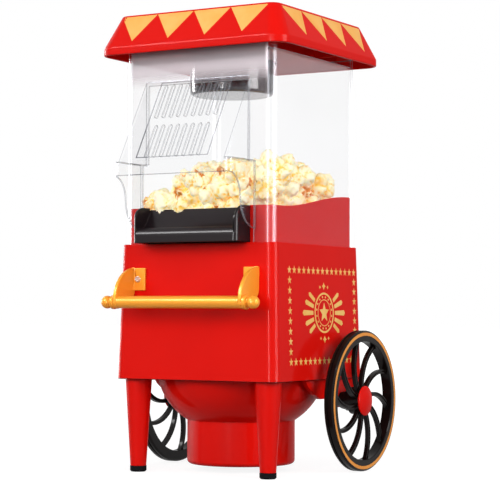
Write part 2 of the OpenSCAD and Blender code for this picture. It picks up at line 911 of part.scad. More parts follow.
// Plan of the spout's cheeks and front, with round front corners
module spout_plan() {
    flat = spout_half - spout_corner_r;
    translate([-spout_half, spout_nose + spout_corner_r])
        square([2 * spout_half, -spout_nose]);
    translate([-flat, spout_nose])
        square([2 * flat, 2 * spout_corner_r]);
    for (x = [-flat, flat])
        translate([x, spout_nose + spout_corner_r])
            circle(r = spout_corner_r);
}

// Scoop: a trough between two cheeks whose upper front corners are round
module spout() {
    neck = -liner_half + liner_wall + 1.2;
    base = rim_z + gap;
    ramp = spout_ramp();
    cheek_top = base + spout_h + 1.5;
    cheek = concat(
        [[spout_nose, base]],
        [for (a = [180 : -10 : 90])
            [spout_nose + cheek_r + cheek_r * cos(a), cheek_top - cheek_r + cheek_r * sin(a)]],
        [[-liner_half - gap, cheek_top], [-liner_half - gap, base]]);
    under = concat(
        [[spout_nose + spout_wall, base - eps], [spout_nose + spout_wall, ramp[0][1] - spout_wall]],
        [for (i = [0 : ramp_steps - 1])
            [ramp[i][0], ramp[i][1] - spout_wall * (1 + 0.9 * i / ramp_steps)]],
        [[ramp[ramp_steps - 1][0], base - eps]]);
    color(black)
        intersection() {
            union() {
                translate([-spout_half + spout_wall / 2, 0, 0])
                    rotate([90, 0, 90])
                        linear_extrude(2 * spout_half - spout_wall)
                            difference() {
                                polygon(concat([[neck, base], [spout_nose, base]], spout_lip(), ramp,
                                               [[neck, base + spout_h]]));
                                polygon(under);
                            }
                for (x = [-spout_half, spout_half - spout_wall])
                    translate([x, 0, 0])
                        rotate([90, 0, 90])
                            linear_extrude(spout_wall)
                                polygon(cheek);
            }
            translate([0, 0, base - eps])
                linear_extrude(cheek_top - base + 2 * eps)
                    spout_plan();
        }
}

// ---------- popping chamber, air tube and heater ----------

// Deep cup with a turned flange; slanted slits round its foot let the hot air in so
// that the kernels swirl
module popping_chamber() {
    floor_r = chamber_r - 8;
    color(steel)
        difference() {
            rotate_extrude()
                polygon([[0, chamber_z], [floor_r + sheet_t, chamber_z],
                         [chamber_r + sheet_t, chamber_z + 8], [chamber_r + sheet_t, liner_floor],
                         [chamber_r + 6, liner_floor], [chamber_r + 6, chamber_top],
                         [chamber_r, chamber_top], [chamber_r, chamber_z + 8 + sheet_t * 0.4],
                         [floor_r + sheet_t * 0.4, chamber_z + sheet_t], [0, chamber_z + sheet_t]]);
            for (i = [0 : louvres - 1])
                rotate([0, 0, i * 360 / louvres])
                    translate([chamber_r + sheet_t / 2, 0, chamber_z + 12])
                        rotate([0, 0, louvre_angle])
                            translate([-6, -louvre_w / 2, 0])
                                cube([12, louvre_w, louvre_h]);
        }
}

// Round duct from the fan to the liner's floor; its flange hangs from the liner
module air_tube() {
    color(steel)
        rotate_extrude()
            polygon([[tube_in, tube_z], [tube_r, tube_z], [tube_r, ledge_z - sheet_t],
                     [tube_r + 6, ledge_z - sheet_t], [tube_r + 6, ledge_z], [tube_in, ledge_z]]);
}

// Two cards that cross on the axis; the coil's turns pass through their round holes
module card_outline() {
    difference() {
        translate([-tube_in + gap, card_z])
            square([2 * (tube_in - gap), card_h]);
        for (x = coil_turns, s = [-1, 1])
            translate([s * x, coil_z])
                circle(r = coil_r + gap, $fn = 24);
    }
}

module mica_cards() {
    color([0.82, 0.76, 0.62])
        for (a = [0, 90])
            rotate([90, 0, a])
                translate([0, 0, -card_t / 2])
                    linear_extrude(card_t)
                        card_outline();
}

module heating_coil() {
    color(steel)
        for (r = coil_turns)
            translate([0, 0, coil_z])
                rotate_extrude($fn = 96)
                    translate([r, 0])
                        circle(r = coil_r, $fn = 16);
}

// Snap-disc thermostat on the tube's rear, with its two blade tabs
module thermostat() {
    color([0.2, 0.2, 0.22])
        translate([0, tube_r + gap, coil_z + 34])
            rotate([-90, 0, 0]) {
                cylinder(r = 8, h = 5);
                cylinder(r = 9.5, h = 1.2);
                for (x = [-4, 4])
                    translate([x - 0.4, -2.5, 5])
                        cube([0.8, 5, 7]);
            }
}

// One-shot thermal fuse in its sleeve, clamped along the tube
module thermal_fuse() {
    color([0.85, 0.85, 0.8])
        translate([tube_r + gap + 2.2, 0, coil_z + 26]) {
            cylinder(r = 2.2, h = 14, $fn = 24);
            translate([0, 0, -5])
                cylinder(r = 0.6, h = 24, $fn = 16);
        }
}

// ---------- fan and motor ----------

// Disc with backward-curved vanes
module fan() {
    vane_t = 1.2;
    color(steel)
        difference() {
            union() {
                translate([0, 0, fan_z])
                    cylinder(r = fan_r, h = 1.2);
                translate([0, 0, fan_z])
                    cylinder(r = 7, h = vane_h + 1);
                translate([0, 0, fan_z + 1])
                    linear_extrude(vane_h)
                        for (i = [0 : vanes - 1])
                            rotate(i * 360 / vanes)
                                vane_band(vane_t);
            }
            translate([0, 0, fan_z - eps])
                cylinder(r = shaft_r + 0.02, h = vane_h + 4);
        }
}

module vane_band(width) {
    bend = fan_r * 0.8;
    intersection() {
        translate([bend * 0.5, -bend * 0.55])
            difference() {
                circle(r = bend + width / 2);
                circle(r = bend - width / 2);
            }
        difference() {
            circle(r = fan_r - 0.5);
            circle(r = fan_r * 0.42);
        }
        square([fan_r, fan_r]);
    }
}

module motor_shaft() {
    color(steel)
        translate([0, 0, motor_top - 10])
            cylinder(r = shaft_r, h = fan_z + vane_h - motor_top + 10);
}

// Closed can with a bearing boss on its top face
module motor_can() {
    color([0.6, 0.62, 0.64])
        difference() {
            union() {
                translate([0, 0, motor_top - motor_l])
                    cylinder(r = motor_r, h = motor_l);
                translate([0, 0, motor_top])
                    cylinder(r = boss_r, h = mount_t);
            }
            translate([0, 0, motor_top - 11])
                cylinder(r = shaft_r + 0.05, h = 20);
            motor_bolt_places()
                translate([0, 0, motor_top - 6])
                    cylinder(r = 1.25, h = 7);
        }
}

module motor_bolt_places() {
    for (x = [-1, 1])
        translate([x * (boss_r + motor_r) / 2, 0, 0])
            children();
}

module motor_screw_places() {
    for (a = [0 : 120 : 240])
        rotate([0, 0, a])
            translate([lip_r + 2.6, 0, 0])
                children();
}

// Cup over the motor's top, on three arms that stand on the bowl's inner lip
module motor_mount() {
    sleeve = motor_r + gap;
    arm_out = lip_r + 5;
    color(black)
        difference() {
            union() {
                rotate_extrude()
                    polygon([[boss_r + gap, motor_top], [sleeve, motor_top],
                             [sleeve, mount_ring_z], [sleeve + 2, mount_ring_z],
                             [sleeve + 2, motor_top + mount_t], [boss_r + gap, motor_top + mount_t]]);
                for (a = [0 : 120 : 240])
                    rotate([0, 0, a])
                        translate([sleeve + 1, -4, mount_ring_z])
                            cube([arm_out - sleeve - 1, 8, 3]);
                translate([0, 0, mount_ring_z])
                    ring(arm_out, lip_r, 3);
            }
            motor_screw_places()
                translate([0, 0, mount_ring_z - eps])
                    cylinder(r = screw_r + 0.05, h = 3 + 2 * eps);
            motor_bolt_places()
                translate([0, 0, motor_top - eps])
                    cylinder(r = 1.3, h = mount_t + 2 * eps);
        }
}

// Round board with four diodes on the motor's lower end
module rectifier_board() {
    z = motor_top - motor_l;
    color([0.3, 0.45, 0.2])
        translate([0, 0, z - 1.6])
            cylinder(r = motor_r - 1, h = 1.6);
    color(black)
        for (x = [-8, -3, 3, 8])
            translate([x - 1.2, -4, z - 4])
                cube([2.4, 8, 2.4]);
}

// ---------- rear switch and cord inlet ----------

// Frame in the housing's rear wall; local +X is across, local -Y points outwards
module switch_frame() {
    inner_w = switch_w - 5;
    inner_h = switch_h - 5;
    depth = 12;
    color(black)
        on_rear(switch_z)
            translate([switch_x, 0, 0])
                difference() {
                    union() {
                        translate([-switch_w / 2, -bezel_t, -switch_h / 2])
                            cube([switch_w, bezel_t, switch_h]);
                        translate([-switch_w / 2 + 1.2, 0, -switch_h / 2 + 1.2])
                            cube([switch_w - 2.4, depth, switch_h - 2.4]);
                    }
                    translate([-inner_w / 2, -bezel_t - eps, -inner_h / 2])
                        cube([inner_w, depth, inner_h]);
                    rotate([0, 90, 0])
                        cylinder(r = rocker_pin_r + 0.06, h = switch_w, center = true, $fn = 24);
                }
}

// Rocker with a shallow V face, turning on two pins in the frame's side walls
module rocker() {
    w = switch_w - 5 - 2 * gap;
    h = switch_h / 2 - 2.5 - gap;
    color(black)
        on_rear(switch_z)
            translate([switch_x, 0, 0]) {
                translate([-w / 2, 0, 0])
                    rotate([90, 0, 90])
                        linear_extrude(w)
                            rotate(-rocker_travel / 2)
                                polygon([[-bezel_t - 2.4, -h * 0.93], [-bezel_t + 0.4, 0],
                                         [-bezel_t - 2.4, h * 0.93], [0, h * 0.95], [4, h * 0.5],
                                         [4, -h * 0.5], [0, -h * 0.95]]);
                rotate([0, 90, 0])
                    cylinder(r = rocker_pin_r, h = w + 1.6, center = true, $fn = 24);
            }
}

// Flanged bush for the mains lead; the lead itself is not part of this model
module cord_inlet() {
    color(black)
        on_rear(inlet_z)
            translate([-switch_x, 0, 0])
                rotate([90, 0, 0])
                    difference() {
                        union() {
                            cylinder(r1 = inlet_r, r2 = inlet_r - 1.5, h = 2.5);
                            translate([0, 0, -wall - 4])
                                cylinder(r = inlet_hole_r + 2, h = wall + 4);
                        }
                        translate([0, 0, -wall - 5])
                            cylinder(r = inlet_hole_r, h = wall + 10);
                    }
}

// ---------- handle ----------

// Outline of the curved fin in (out, up): a convex outer edge and a concave inner edge
function fin_outline() =
    let (top = plate_h / 2, eye = bar_d / 2 + 0.4, low = -bar_drop)
        concat(
            [for (i = [0 : 8])
                let (a = 90 - 90 * i / 8)
                    [(bar_reach + eye) * cos(a), low + (top - low) * sin(a)]],
            [for (i = [0 : 6])
                let (a = -30 * i)
                    [bar_reach + eye * cos(a), low + eye * sin(a)]],
            [for (i = [1 : 6])
                let (a = 90 * i / 6)
                    [(bar_reach - eye) * (1 - sin(a)), low - (top + low) * (1 - cos(a))]],
            [[0, -top]]);

module handle_bracket(side) {
    color(gold)
        mirror([side < 0 ? 1 : 0, 0, 0])
            on_front(plate_z)
                difference() {
                    union() {
                        translate([plate_out - plate_w, -plate_t, -plate_h / 2])
                            cube([plate_w, plate_t, plate_h]);
                        translate([fin_in, 0, 0])
                            rotate([90, 0, -90])
                                mirror([0, 0, 1])
                                    linear_extrude(fin_t)
                                        polygon(fin_outline());
                    }
                    translate([plate_out - plate_w / 2, -plate_t - eps, 0])
                        rotate([-90, 0, 0])
                            cylinder(r = screw_r + 0.05, h = plate_t + 2 * eps);
                    translate([fin_in - eps, -bar_reach, -bar_drop])
                        rotate([0, 90, 0])
                            cylinder(r = tenon_d / 2 + 0.05, h = fin_t + 2 * eps);
                }
}

// Bar between the fins, with a tenon through each eye
module handle_bar() {
    tenon_l = fin_t + 3;
    color(gold)
        on_front(plate_z)
            translate([0, -bar_reach, -bar_drop])
                rotate([0, 90, 0]) {
                    cylinder(r = bar_d / 2, h = 2 * fin_in, center = true);
                    cylinder(r = tenon_d / 2, h = 2 * (fin_in + tenon_l), center = true);
                }
}

// Turned collar, neck and ball, pushed onto the bar's tenon
module handle_knob(side) {
    ball_r = ball_d / 2;
    neck_r = ball_r * 0.72;
    start = acos(neck_r / ball_r);
    mid = collar_w + 1.2 + ball_r * sin(start);
    color(gold)
        mirror([side < 0 ? 1 : 0, 0, 0])
            on_front(plate_z)
                translate([plate_out, -bar_reach, -bar_drop])
                    rotate([0, 90, 0])
                        difference() {
                            rotate_extrude()
                                polygon(concat(
                                    [[0, 0], [collar_d / 2 - 0.8, 0], [collar_d / 2, 0.8],
                                     [collar_d / 2, collar_w - 0.8], [collar_d / 2 - 0.8, collar_w],
                                     [neck_r, collar_w]],
                                    [for (i = [0 : 10])
                                        let (a = -start + (90 + start) * i / 10)
                                            [ball_r * cos(a), mid + ball_r * sin(a)]]));
                            translate([0, 0, -eps])
                                cylinder(r = tenon_d / 2 + 0.05, h = 3 + gap + eps);
                        }
}

// ---------- fasteners, grouped by what they hold ----------

module handle_screws() {
    color(steel)
        on_front(plate_z)
            both_sides()
                translate([plate_out - plate_w / 2, -plate_t, 0])
                    rotate([90, 0, 0])
                        pan_screw(screw_r, plate_t + wall + handle_screw_end, head_r, head_t);
}

module leg_screws() {
    color(steel)
        both_sides()
            translate([leg_x, -leg_x, housing_z + floor_t])
                pan_screw(leg_screw_r, floor_t + leg_screw_bite, head_r, head_t);
}

module bracket_screws() {
    color(steel)
        both_sides()
            for (y = lug_screw_y)
                translate([lug_in - flange_w / 2, y, housing_z + floor_t])
                    pan_screw(screw_r, floor_t + flange_t + bracket_screw_end, head_r, head_t);
}

module bowl_screws() {
    color(steel)
        bowl_screw_places()
            translate([0, 0, housing_z + floor_t])
                pan_screw(screw_r, floor_t + bowl_screw_bite, head_r, head_t);
}

module grille_screws() {
    color(steel)
        grille_screw_places()
            translate([0, 0, grille_z + grille_t])
                pan_screw(1.2, grille_t + bowl_wall, 2.2, 1.2);
}

module motor_screws() {
    color(steel) {
        motor_screw_places()
            translate([0, 0, mount_ring_z + 3])
                pan_screw(screw_r, 3 + lip_t, 2.5, 1.6);
        motor_bolt_places()
            translate([0, 0, motor_top + mount_t])
                pan_screw(1.2, mount_t + 5, 2, 1.2);
    }
}

module liner_screws() {
    color(steel)
        liner_screw_places()
            translate([0, 0, liner_floor])
                pan_screw(screw_r, liner_wall + ledge_t, liner_head_r, head_t);
}

// ---------- clear cover and chute hood ----------

// Four walls and a ceiling with a round hole for the kernel cup; the front has a mouth
// that is open to its lower edge, so the cover lifts over the spout
module clear_cover() {
    color(clear)
        difference() {
            rounded_box(cover_half, cover_corner_r, ledge_z, cover_top);
            rounded_box(cover_half - cover_wall, cover_corner_r - cover_wall,
                        ledge_z - eps, ceiling_z - cover_wall);
            rounded_box(cover_half - cover_wall, cover_corner_r - cover_wall,
                        ceiling_z, cover_top + eps);
            translate([0, -cup_forward, ceiling_z - 2 * cover_wall])
                cylinder(r = cup_r + cup_play + 2, h = 3 * cover_wall);
            translate([-mouth_half, front - eps, step_z])
                cube([2 * mouth_half, cover_wall + 2 * eps, hood_h - 4]);
            translate([-skirt_half + hood_wall + 0.6, front - eps, ledge_z - eps])
                cube([2 * (skirt_half - hood_wall - 0.6), cover_wall + 2 * eps, step_z - ledge_z + eps]);
        }
}

// The slanted panel's slots, cut square to the panel; local y = 0 is its outer face
module vent_slots(count, length, start) {
    through = hood_wall + 2 * eps;
    for (i = [0 : count - 1])
        translate([(i - (count - 1) / 2) * slot_pitch, through - eps, -start])
            rotate([90, 0, 0]) {
                for (end = [slot_w / 2, length - slot_w / 2])
                    translate([0, -end, 0])
                        cylinder(r = slot_w / 2, h = through, $fn = 24);
                translate([-slot_w / 2, -length + slot_w / 2, 0])
                    cube([slot_w, length - slot_w, through]);
            }
}

// Side outline of the skirt in (y, z): its front edge sweeps back in an S to the foot
function skirt_side() =
    let (nose = hood_nose, low = step_z - band_h, run = front - hood_nose)
        concat(
            [[front, step_z], [nose, step_z], [nose, low]],
            [for (i = [1 : 6])
                let (a = 90 * i / 6)
                    [nose + run * 0.42 * sin(a), low - (skirt_h - band_h) * 0.42 * (1 - cos(a))]],
            [for (i = [1 : 7])
                let (a = 90 * i / 7)
                    [front - run * 0.58 + run * 0.58 * (1 - cos(a)),
                     skirt_z + (skirt_h - band_h) * 0.58 * (1 - sin(a))]],
            [[front, skirt_z]]);

// Half of the slanted panel's section in (y, z), closed by the cover's front
function panel_outline(t) = [
    [front, hood_top_z], [hood_nose, step_z], [hood_nose + t, step_z],
    [front, hood_top_z - t / tan(hood_slope)]
];

// Plan of the step and the skirt, moved inwards, with round front corners
module hood_plan(inset) {
    half = skirt_half - inset;
    nose = hood_nose + inset;
    r = hood_corner_r - inset;
    translate([-half, nose + r])
        square([2 * half, front - nose - r]);
    translate([r - half, nose])
        square([2 * (half - r), 2 * r]);
    for (x = [-1, 1])
        translate([x * (half - r), nose + r])
            circle(r = r);
}

// Slanted panel with a raised field and two rows of slots
module vented_panel(level_t) {
    difference() {
        union() {
            translate([-hood_half, 0, 0])
                rotate([90, 0, 90])
                    linear_extrude(2 * hood_half)
                        polygon(panel_outline(level_t));
            translate([0, front, hood_top_z])
                rotate([-hood_slope, 0, 0])
                    translate([-field_half, -field_t, 3 - panel_l])
                        cube([2 * field_half, field_t + hood_wall / 2, panel_l - 5]);
        }
        translate([0, front, hood_top_z])
            rotate([-hood_slope, 0, 0]) {
                vent_slots(slots_upper, slot_upper_l, slot_start);
                vent_slots(slots_lower, slot_lower_l, slot_start + slot_upper_l + slot_gap);
            }
    }
}

module chute_hood() {
    level_t = hood_wall / cos(hood_slope);
    color(clear) union() {
        vented_panel(level_t);
        // triangular cheeks under the panel
        for (x = [-hood_half, hood_half - hood_wall])
            translate([x, 0, 0])
                rotate([90, 0, 90])
                    linear_extrude(hood_wall)
                        polygon([[front, step_z - hood_wall], [front, hood_top_z - 1],
                                 [hood_nose + level_t / 2, step_z],
                                 [hood_nose + level_t / 2, step_z - hood_wall]]);
        // step, open in the middle
        translate([0, 0, step_z - hood_wall])
            linear_extrude(hood_wall)
                difference() {
                    hood_plan(0);
                    translate([-hood_half + hood_wall, front - hood_reach])
                        square([2 * (hood_half - hood_wall), hood_reach + eps]);
                }
        // front band that turns into the skirt's sides
        intersection() {
            translate([0, 0, skirt_z])
                linear_extrude(step_z - skirt_z)
                    difference() {
                        hood_plan(0);
                        translate([0, eps])
                            hood_plan(hood_wall);
                        hood_plan(hood_wall);
                    }
            translate([-skirt_half - eps, 0, 0])
                rotate([90, 0, 90])
                    linear_extrude(2 * (skirt_half + eps))
                        polygon(skirt_side());
        }
    }
}

// ---------- roof and kernel cup ----------

// Hollow four-sided roof: an upright band, sloping sides and a flat top, with ribs that
// stand on the cover's top edge and a round socket for the cup
module roof() {
    slope = atan((roof_half - roof_top_half) / (roof_h - roof_band));
    slope_in = roof_wall / cos(slope);
    color(red)
        union() {
            difference() {
                roof_form(0, 0, roof_z, roof_z + roof_h);
                roof_form(roof_wall, slope_in - roof_wall * tan(slope), roof_z - eps,
                          roof_z + roof_h - roof_wall);
            }
            intersection() {
                roof_ribs();
                roof_form(roof_wall / 2, roof_wall / 2, roof_z, roof_z + roof_h - roof_wall / 2);
            }
        }
}

// Solid roof shape whose band and top outlines are moved inwards
module roof_form(band_in, top_in, z0, z1) {
    skin = 0.01;
    r0 = roof_corner_r - band_in;
    r1 = roof_corner_r - 6 - top_in;
    spread = roof_half - roof_corner_r;
    spread_top = roof_top_half - roof_corner_r + 6;
    hull() {
        for (x = [-1, 1], y = [-1, 1]) {
            translate([x * spread, y * spread, z0])
                cylinder(r = r0, h = roof_z + roof_band - z0, $fn = hull_fn);
            translate([x * spread_top, y * spread_top, z1 - skin])
                cylinder(r = r1, h = skin, $fn = hull_fn);
        }
    }
}

// Crossed ribs on the cover's top edge, and the socket that holds the cup's rim
module roof_ribs() {
    rib_at = cover_half * 0.62;
    for (s = [-1, 1]) {
        translate([s * rib_at - 1, -roof_half, cover_top])
            cube([2, 2 * roof_half, roof_h]);
        difference() {
            translate([-roof_half, s * rib_at - 1, cover_top])
                cube([2 * roof_half, 2, roof_h]);
            translate([0, -cup_forward, cover_top - eps])
                cylinder(r = cup_r + gap + socket_t / 2, h = roof_h + 2 * eps);
        }
    }
    translate([0, -cup_forward, cup_rim_z - 6])
        ring(cup_r + gap + socket_t, cup_r + gap, roof_h);
    translate([0, -cup_forward, cup_rim_z + gap])
        ring(cup_r + gap + socket_t / 2, cup_r - 4, 2);
}

// Smoked measuring cup with a rounded foot
module measuring_cup() {
    foot_r = 4;
    inner = cup_r - cup_wall;
    color(smoke)
        translate([0, -cup_forward, 0])
            rotate_extrude()
                polygon(concat(
                    [[0, cup_z]],
                    [for (a = [-90 : 15 : 0])
                        [cup_r - foot_r + foot_r * cos(a), cup_z + foot_r + foot_r * sin(a)]],
                    [[cup_r, cup_rim_z], [inner, cup_rim_z], [inner, cup_z + foot_r],
                     [inner - foot_r + cup_wall, cup_z + cup_wall], [0, cup_z + cup_wall]]));
}

placed() base_housing();
placed() lower_bowl();
placed() intake_drum();
placed() intake_grille();
placed() front_leg(-1);  // front_leg_left
placed() front_leg(1);  // front_leg_right
placed() foot(-1);  // foot_left
placed() foot(1);  // foot_right
placed() axle_bracket(-1);  // axle_bracket_left
placed() axle_bracket(1);  // axle_bracket_right
placed() stub_axle(-1);  // stub_axle_left
placed() stub_axle(1);  // stub_axle_right
placed() wheel(-1);  // wheel_left
placed() wheel(1);  // wheel_right
placed() trim_ring(-1);  // trim_ring_left
placed() trim_ring(1);  // trim_ring_right
placed() hub_cap(-1);  // hub_cap_left
placed() hub_cap(1);  // hub_cap_right
placed() inner_liner();
placed() spout();
placed() popping_chamber();
placed() air_tube();
placed() mica_cards();
placed() heating_coil();
placed() thermostat();
placed() thermal_fuse();
placed() fan();
placed() motor_shaft();
placed() motor_can();
placed() motor_mount();
placed() rectifier_board();
placed() switch_frame();
placed() rocker();
placed() cord_inlet();
placed() handle_bracket(-1);  // handle_bracket_left
placed() handle_bracket(1);  // handle_bracket_right
placed() handle_bar();
placed() handle_knob(-1);  // handle_knob_left
placed() handle_knob(1);  // handle_knob_right
placed() handle_screws();
placed() leg_screws();
placed() bracket_screws();
placed() bowl_screws();
placed() grille_screws();
placed() motor_screws();
placed() liner_screws();
placed() clear_cover();
placed() chute_hood();
placed() roof();
placed() measuring_cup();
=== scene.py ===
# %% [markdown]
# # A cart-shaped hot-air popcorn maker, dressed for a studio render
#
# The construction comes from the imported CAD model: the tapered red housing, the bowl and
# drum below it, the clear cover with its chute hood, the wheels and all that turns or lifts.
# This script gives each of those pieces the finish of the real one, rounds the moulded edges
# that catch light, prints the pennants and the star border, and fills the cover with popcorn.
# Lengths are in metres, and the ground is z = 0.

import json
import math
import random

import bmesh
import bpy
from mathutils import Matrix, Vector, noise
from mathutils.bvhtree import BVHTree


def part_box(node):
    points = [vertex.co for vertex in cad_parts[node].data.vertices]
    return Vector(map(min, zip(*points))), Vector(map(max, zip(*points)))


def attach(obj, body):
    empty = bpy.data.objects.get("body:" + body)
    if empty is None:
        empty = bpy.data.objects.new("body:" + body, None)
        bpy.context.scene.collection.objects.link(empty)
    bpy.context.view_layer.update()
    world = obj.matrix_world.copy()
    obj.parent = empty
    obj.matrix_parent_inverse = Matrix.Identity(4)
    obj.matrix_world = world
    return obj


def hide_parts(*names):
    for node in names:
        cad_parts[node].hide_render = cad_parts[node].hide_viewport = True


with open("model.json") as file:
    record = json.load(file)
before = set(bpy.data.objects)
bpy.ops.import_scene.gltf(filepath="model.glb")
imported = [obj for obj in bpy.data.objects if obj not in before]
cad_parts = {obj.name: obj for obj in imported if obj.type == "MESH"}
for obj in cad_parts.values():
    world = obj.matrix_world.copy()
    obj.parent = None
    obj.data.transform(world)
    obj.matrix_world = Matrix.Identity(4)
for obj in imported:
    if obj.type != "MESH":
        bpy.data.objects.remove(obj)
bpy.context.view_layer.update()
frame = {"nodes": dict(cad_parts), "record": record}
nodes = frame["nodes"]
body_of_node = {
    node: body
    for body, members in frame["record"]["behaviour"]["bodies"].items()
    for node in members
}
slot_of_node = {row["node"]: row["material_slot"] for row in frame["record"]["subparts"]}
MM = 0.001

# %% [markdown]
# ## Camera
#
# A product camera stands low and far away with a long lens, so upright edges stay nearly
# parallel. Placing it by a spot and three angles keeps every number readable: how far it
# is turned, how much it looks up, and a trace of roll.

# %% Camera
camera_spot = Vector((0.8621, -1.4380, 0.1496))
camera_turn = math.radians(30.56)
camera_rise = math.radians(2.06)
camera_roll = math.radians(0.23)
camera_lens = 126.0


def make_camera():
    camera = bpy.data.objects.new("studio_camera", bpy.data.cameras.new("studio_camera"))
    bpy.context.scene.collection.objects.link(camera)
    camera.matrix_world = (
        Matrix.Translation(camera_spot)
        @ Matrix.Rotation(camera_turn, 4, "Z")
        @ Matrix.Rotation(math.pi / 2 + camera_rise, 4, "X")
        @ Matrix.Rotation(camera_roll, 4, "Z")
    )
    camera.data.sensor_width = 36
    camera.data.lens = camera_lens
    camera.data.clip_start = 0.05
    camera.data.clip_end = 60
    bpy.context.scene.camera = camera


make_camera()
print("camera at", [round(v, 3) for v in camera_spot], "lens", camera_lens)

# %% [markdown]
# ## Shader maths as Python
#
# A material is a small graph of nodes. Writing the graph by hand is slow to read, so a
# socket is wrapped in a class with the usual operators: an expression such as
# `0.4 + 0.1 * speckle` then adds its own Math nodes. Colours go through Mix nodes, because
# a Math node would turn a colour grey.


# %% A socket with operators
class Wire:
    """An output socket of a finish; arithmetic on it adds nodes to that finish."""

    def __init__(self, finish, socket):
        self.finish = finish
        self.socket = socket

    def math(self, operation, first, second):
        settings = {"operation": operation}
        return self.finish.node("ShaderNodeMath", settings, {0: first, 1: second})

    def __add__(self, other):
        return self.math("ADD", self, other)

    def __radd__(self, other):
        return self.math("ADD", other, self)

    def __sub__(self, other):
        return self.math("SUBTRACT", self, other)

    def __rsub__(self, other):
        return self.math("SUBTRACT", other, self)

    def __mul__(self, other):
        return self.math("MULTIPLY", self, other)

    def __rmul__(self, other):
        return self.math("MULTIPLY", other, self)

    def __pow__(self, other):
        return self.math("POWER", self, other)

    def clamp(self):
        """The value, held between 0 and 1."""
        return self.finish.node("ShaderNodeClamp", {}, {"Value": self})

    def step(self, start, end):
        """0 below start, 1 above end, and a smooth rise between them."""
        settings = {"interpolation_type": "SMOOTHSTEP"}
        sockets = {"Value": self, "From Min": start, "From Max": end}
        return self.finish.node("ShaderNodeMapRange", settings, sockets)


# %% [markdown]
# ## What a finish is
#
# A finish is one material with a Principled surface. Its `node` method makes any other
# node: settings first, then the values or links of its sockets. Most finishes here share
# a few habits of moulded or painted surfaces, so those are methods too: a noise that drifts
# over the surface, a blend of two colours, a bump, and a normal that rounds sharp edges.


# %% Finish
class Finish:
    """A procedural material, built from wires."""

    def __init__(self, name):
        self.material = bpy.data.materials.new(name)
        self.material.use_nodes = True
        self.tree = self.material.node_tree
        self.tree.nodes.clear()
        self.surface = self.tree.nodes.new("ShaderNodeBsdfPrincipled")
        self.output = self.tree.nodes.new("ShaderNodeOutputMaterial")
        self.tree.links.new(self.surface.outputs[0], self.output.inputs["Surface"])
        self.place = self.node("ShaderNodeTexCoord", output="Object")

    def feed(self, socket, value):
        if isinstance(value, Wire):
            self.tree.links.new(value.socket, socket)
        elif socket.type == "RGBA":
            socket.default_value = (*value, 1.0)
        else:
            socket.default_value = value

    def node(self, kind, settings=None, sockets=None, output=0):
        made = self.tree.nodes.new(kind)
        for name, value in (settings or {}).items():
            setattr(made, name, value)
        for name, value in (sockets or {}).items():
            self.feed(made.inputs[name], value)
        return Wire(self, made.outputs[output])

    def set(self, **values):
        """Sockets of the Principled surface, written with _ for a space."""
        for name, value in values.items():
            self.feed(self.surface.inputs[name.replace("_", " ")], value)
        return self

    def noise(self, scale, detail=2.0, roughness=0.5, place=None):
        sockets = {"Scale": scale, "Detail": detail, "Roughness": roughness}
        return self.node("ShaderNodeTexNoise", {}, {"Vector": place or self.place, **sockets})

    def blend(self, amount, first, second):
        """A colour that goes from first to second as amount goes from 0 to 1."""
        sockets = {"Factor": amount, 6: first, 7: second}
        return self.node("ShaderNodeMix", {"data_type": "RGBA"}, sockets, output=2)

    def bump(self, height, distance, strength, normal):
        sockets = {"Height": height, "Distance": distance, "Strength": strength}
        return self.node("ShaderNodeBump", {}, {**sockets, "Normal": normal})

    def soft_edge(self, radius):
        """A normal that rounds sharp edges by a small radius."""
        return self.node("ShaderNodeBevel", {"samples": 4}, {"Radius": radius})


def srgb(red, green, blue):
    """A screen colour from 0 to 255 as the linear colour that a shader takes."""

    def linear(value):
        value /= 255
        return value / 12.92 if value <= 0.04045 else ((value + 0.055) / 1.055) ** 2.4

    return (linear(red), linear(green), linear(blue))


print("the Finish class is ready")

# %% [markdown]
# ## Moulded plastics
#
# The housing, bowl, drum, legs, liner, brackets, hub caps and roof are one red styrene.
# A bright red loses its depth as soon as a white studio reflects in the whole of it, so
# the base scatters only, and a thin clear coat carries the gloss: soft on flat faces, and
# bright where a rounded edge meets a lamp. Real mouldings also show a faint orange peel,
# slightly uneven gloss, and colour that drifts by a percent or two. The wheels and the
# spout are black plastics made the same way. A noise scale counts patches per metre, so 9
# drifts over the whole housing, and 900 is a speckle of about a millimetre.


# %% Plastics
def moulded_plastic(name, colour, shade, gloss, coat, coat_gloss, edge=0.5 * MM, peel=0.02 * MM):
    finish = Finish(name)
    drift = finish.noise(9.0, 3.0)
    speckle = finish.noise(900.0)
    smear = finish.noise(26.0, 4.0, 0.6)
    finish.set(
        Base_Color=finish.blend(drift.step(0.3, 0.72), colour, shade),
        Roughness=gloss + 0.08 * smear + 0.04 * speckle,
        Specular_IOR_Level=0.02,
        Coat_Weight=coat * (0.9 + 0.2 * smear),
        Coat_Roughness=coat_gloss,
        Normal=finish.bump(finish.noise(420.0, 1.0), peel, 0.5, finish.soft_edge(edge)),
    )
    return finish


red_plastic = moulded_plastic(
    "red_styrene", srgb(232, 17, 7), srgb(225, 14, 5), 0.42, coat=0.1, coat_gloss=0.11
)
black_gloss = moulded_plastic(
    "black_gloss_plastic", srgb(24, 17, 16), srgb(17, 12, 11), 0.3, coat=0.16, coat_gloss=0.1
)
black_satin = moulded_plastic(
    "black_satin_plastic", srgb(32, 24, 27), srgb(26, 19, 22), 0.4, coat=0.34, coat_gloss=0.22
)
rubber = moulded_plastic(
    "black_rubber", srgb(30, 30, 32), srgb(22, 22, 24), 0.7, coat=0.0, coat_gloss=0.5
)
print("plastics:", [f.material.name for f in (red_plastic, black_gloss, black_satin, rubber)])

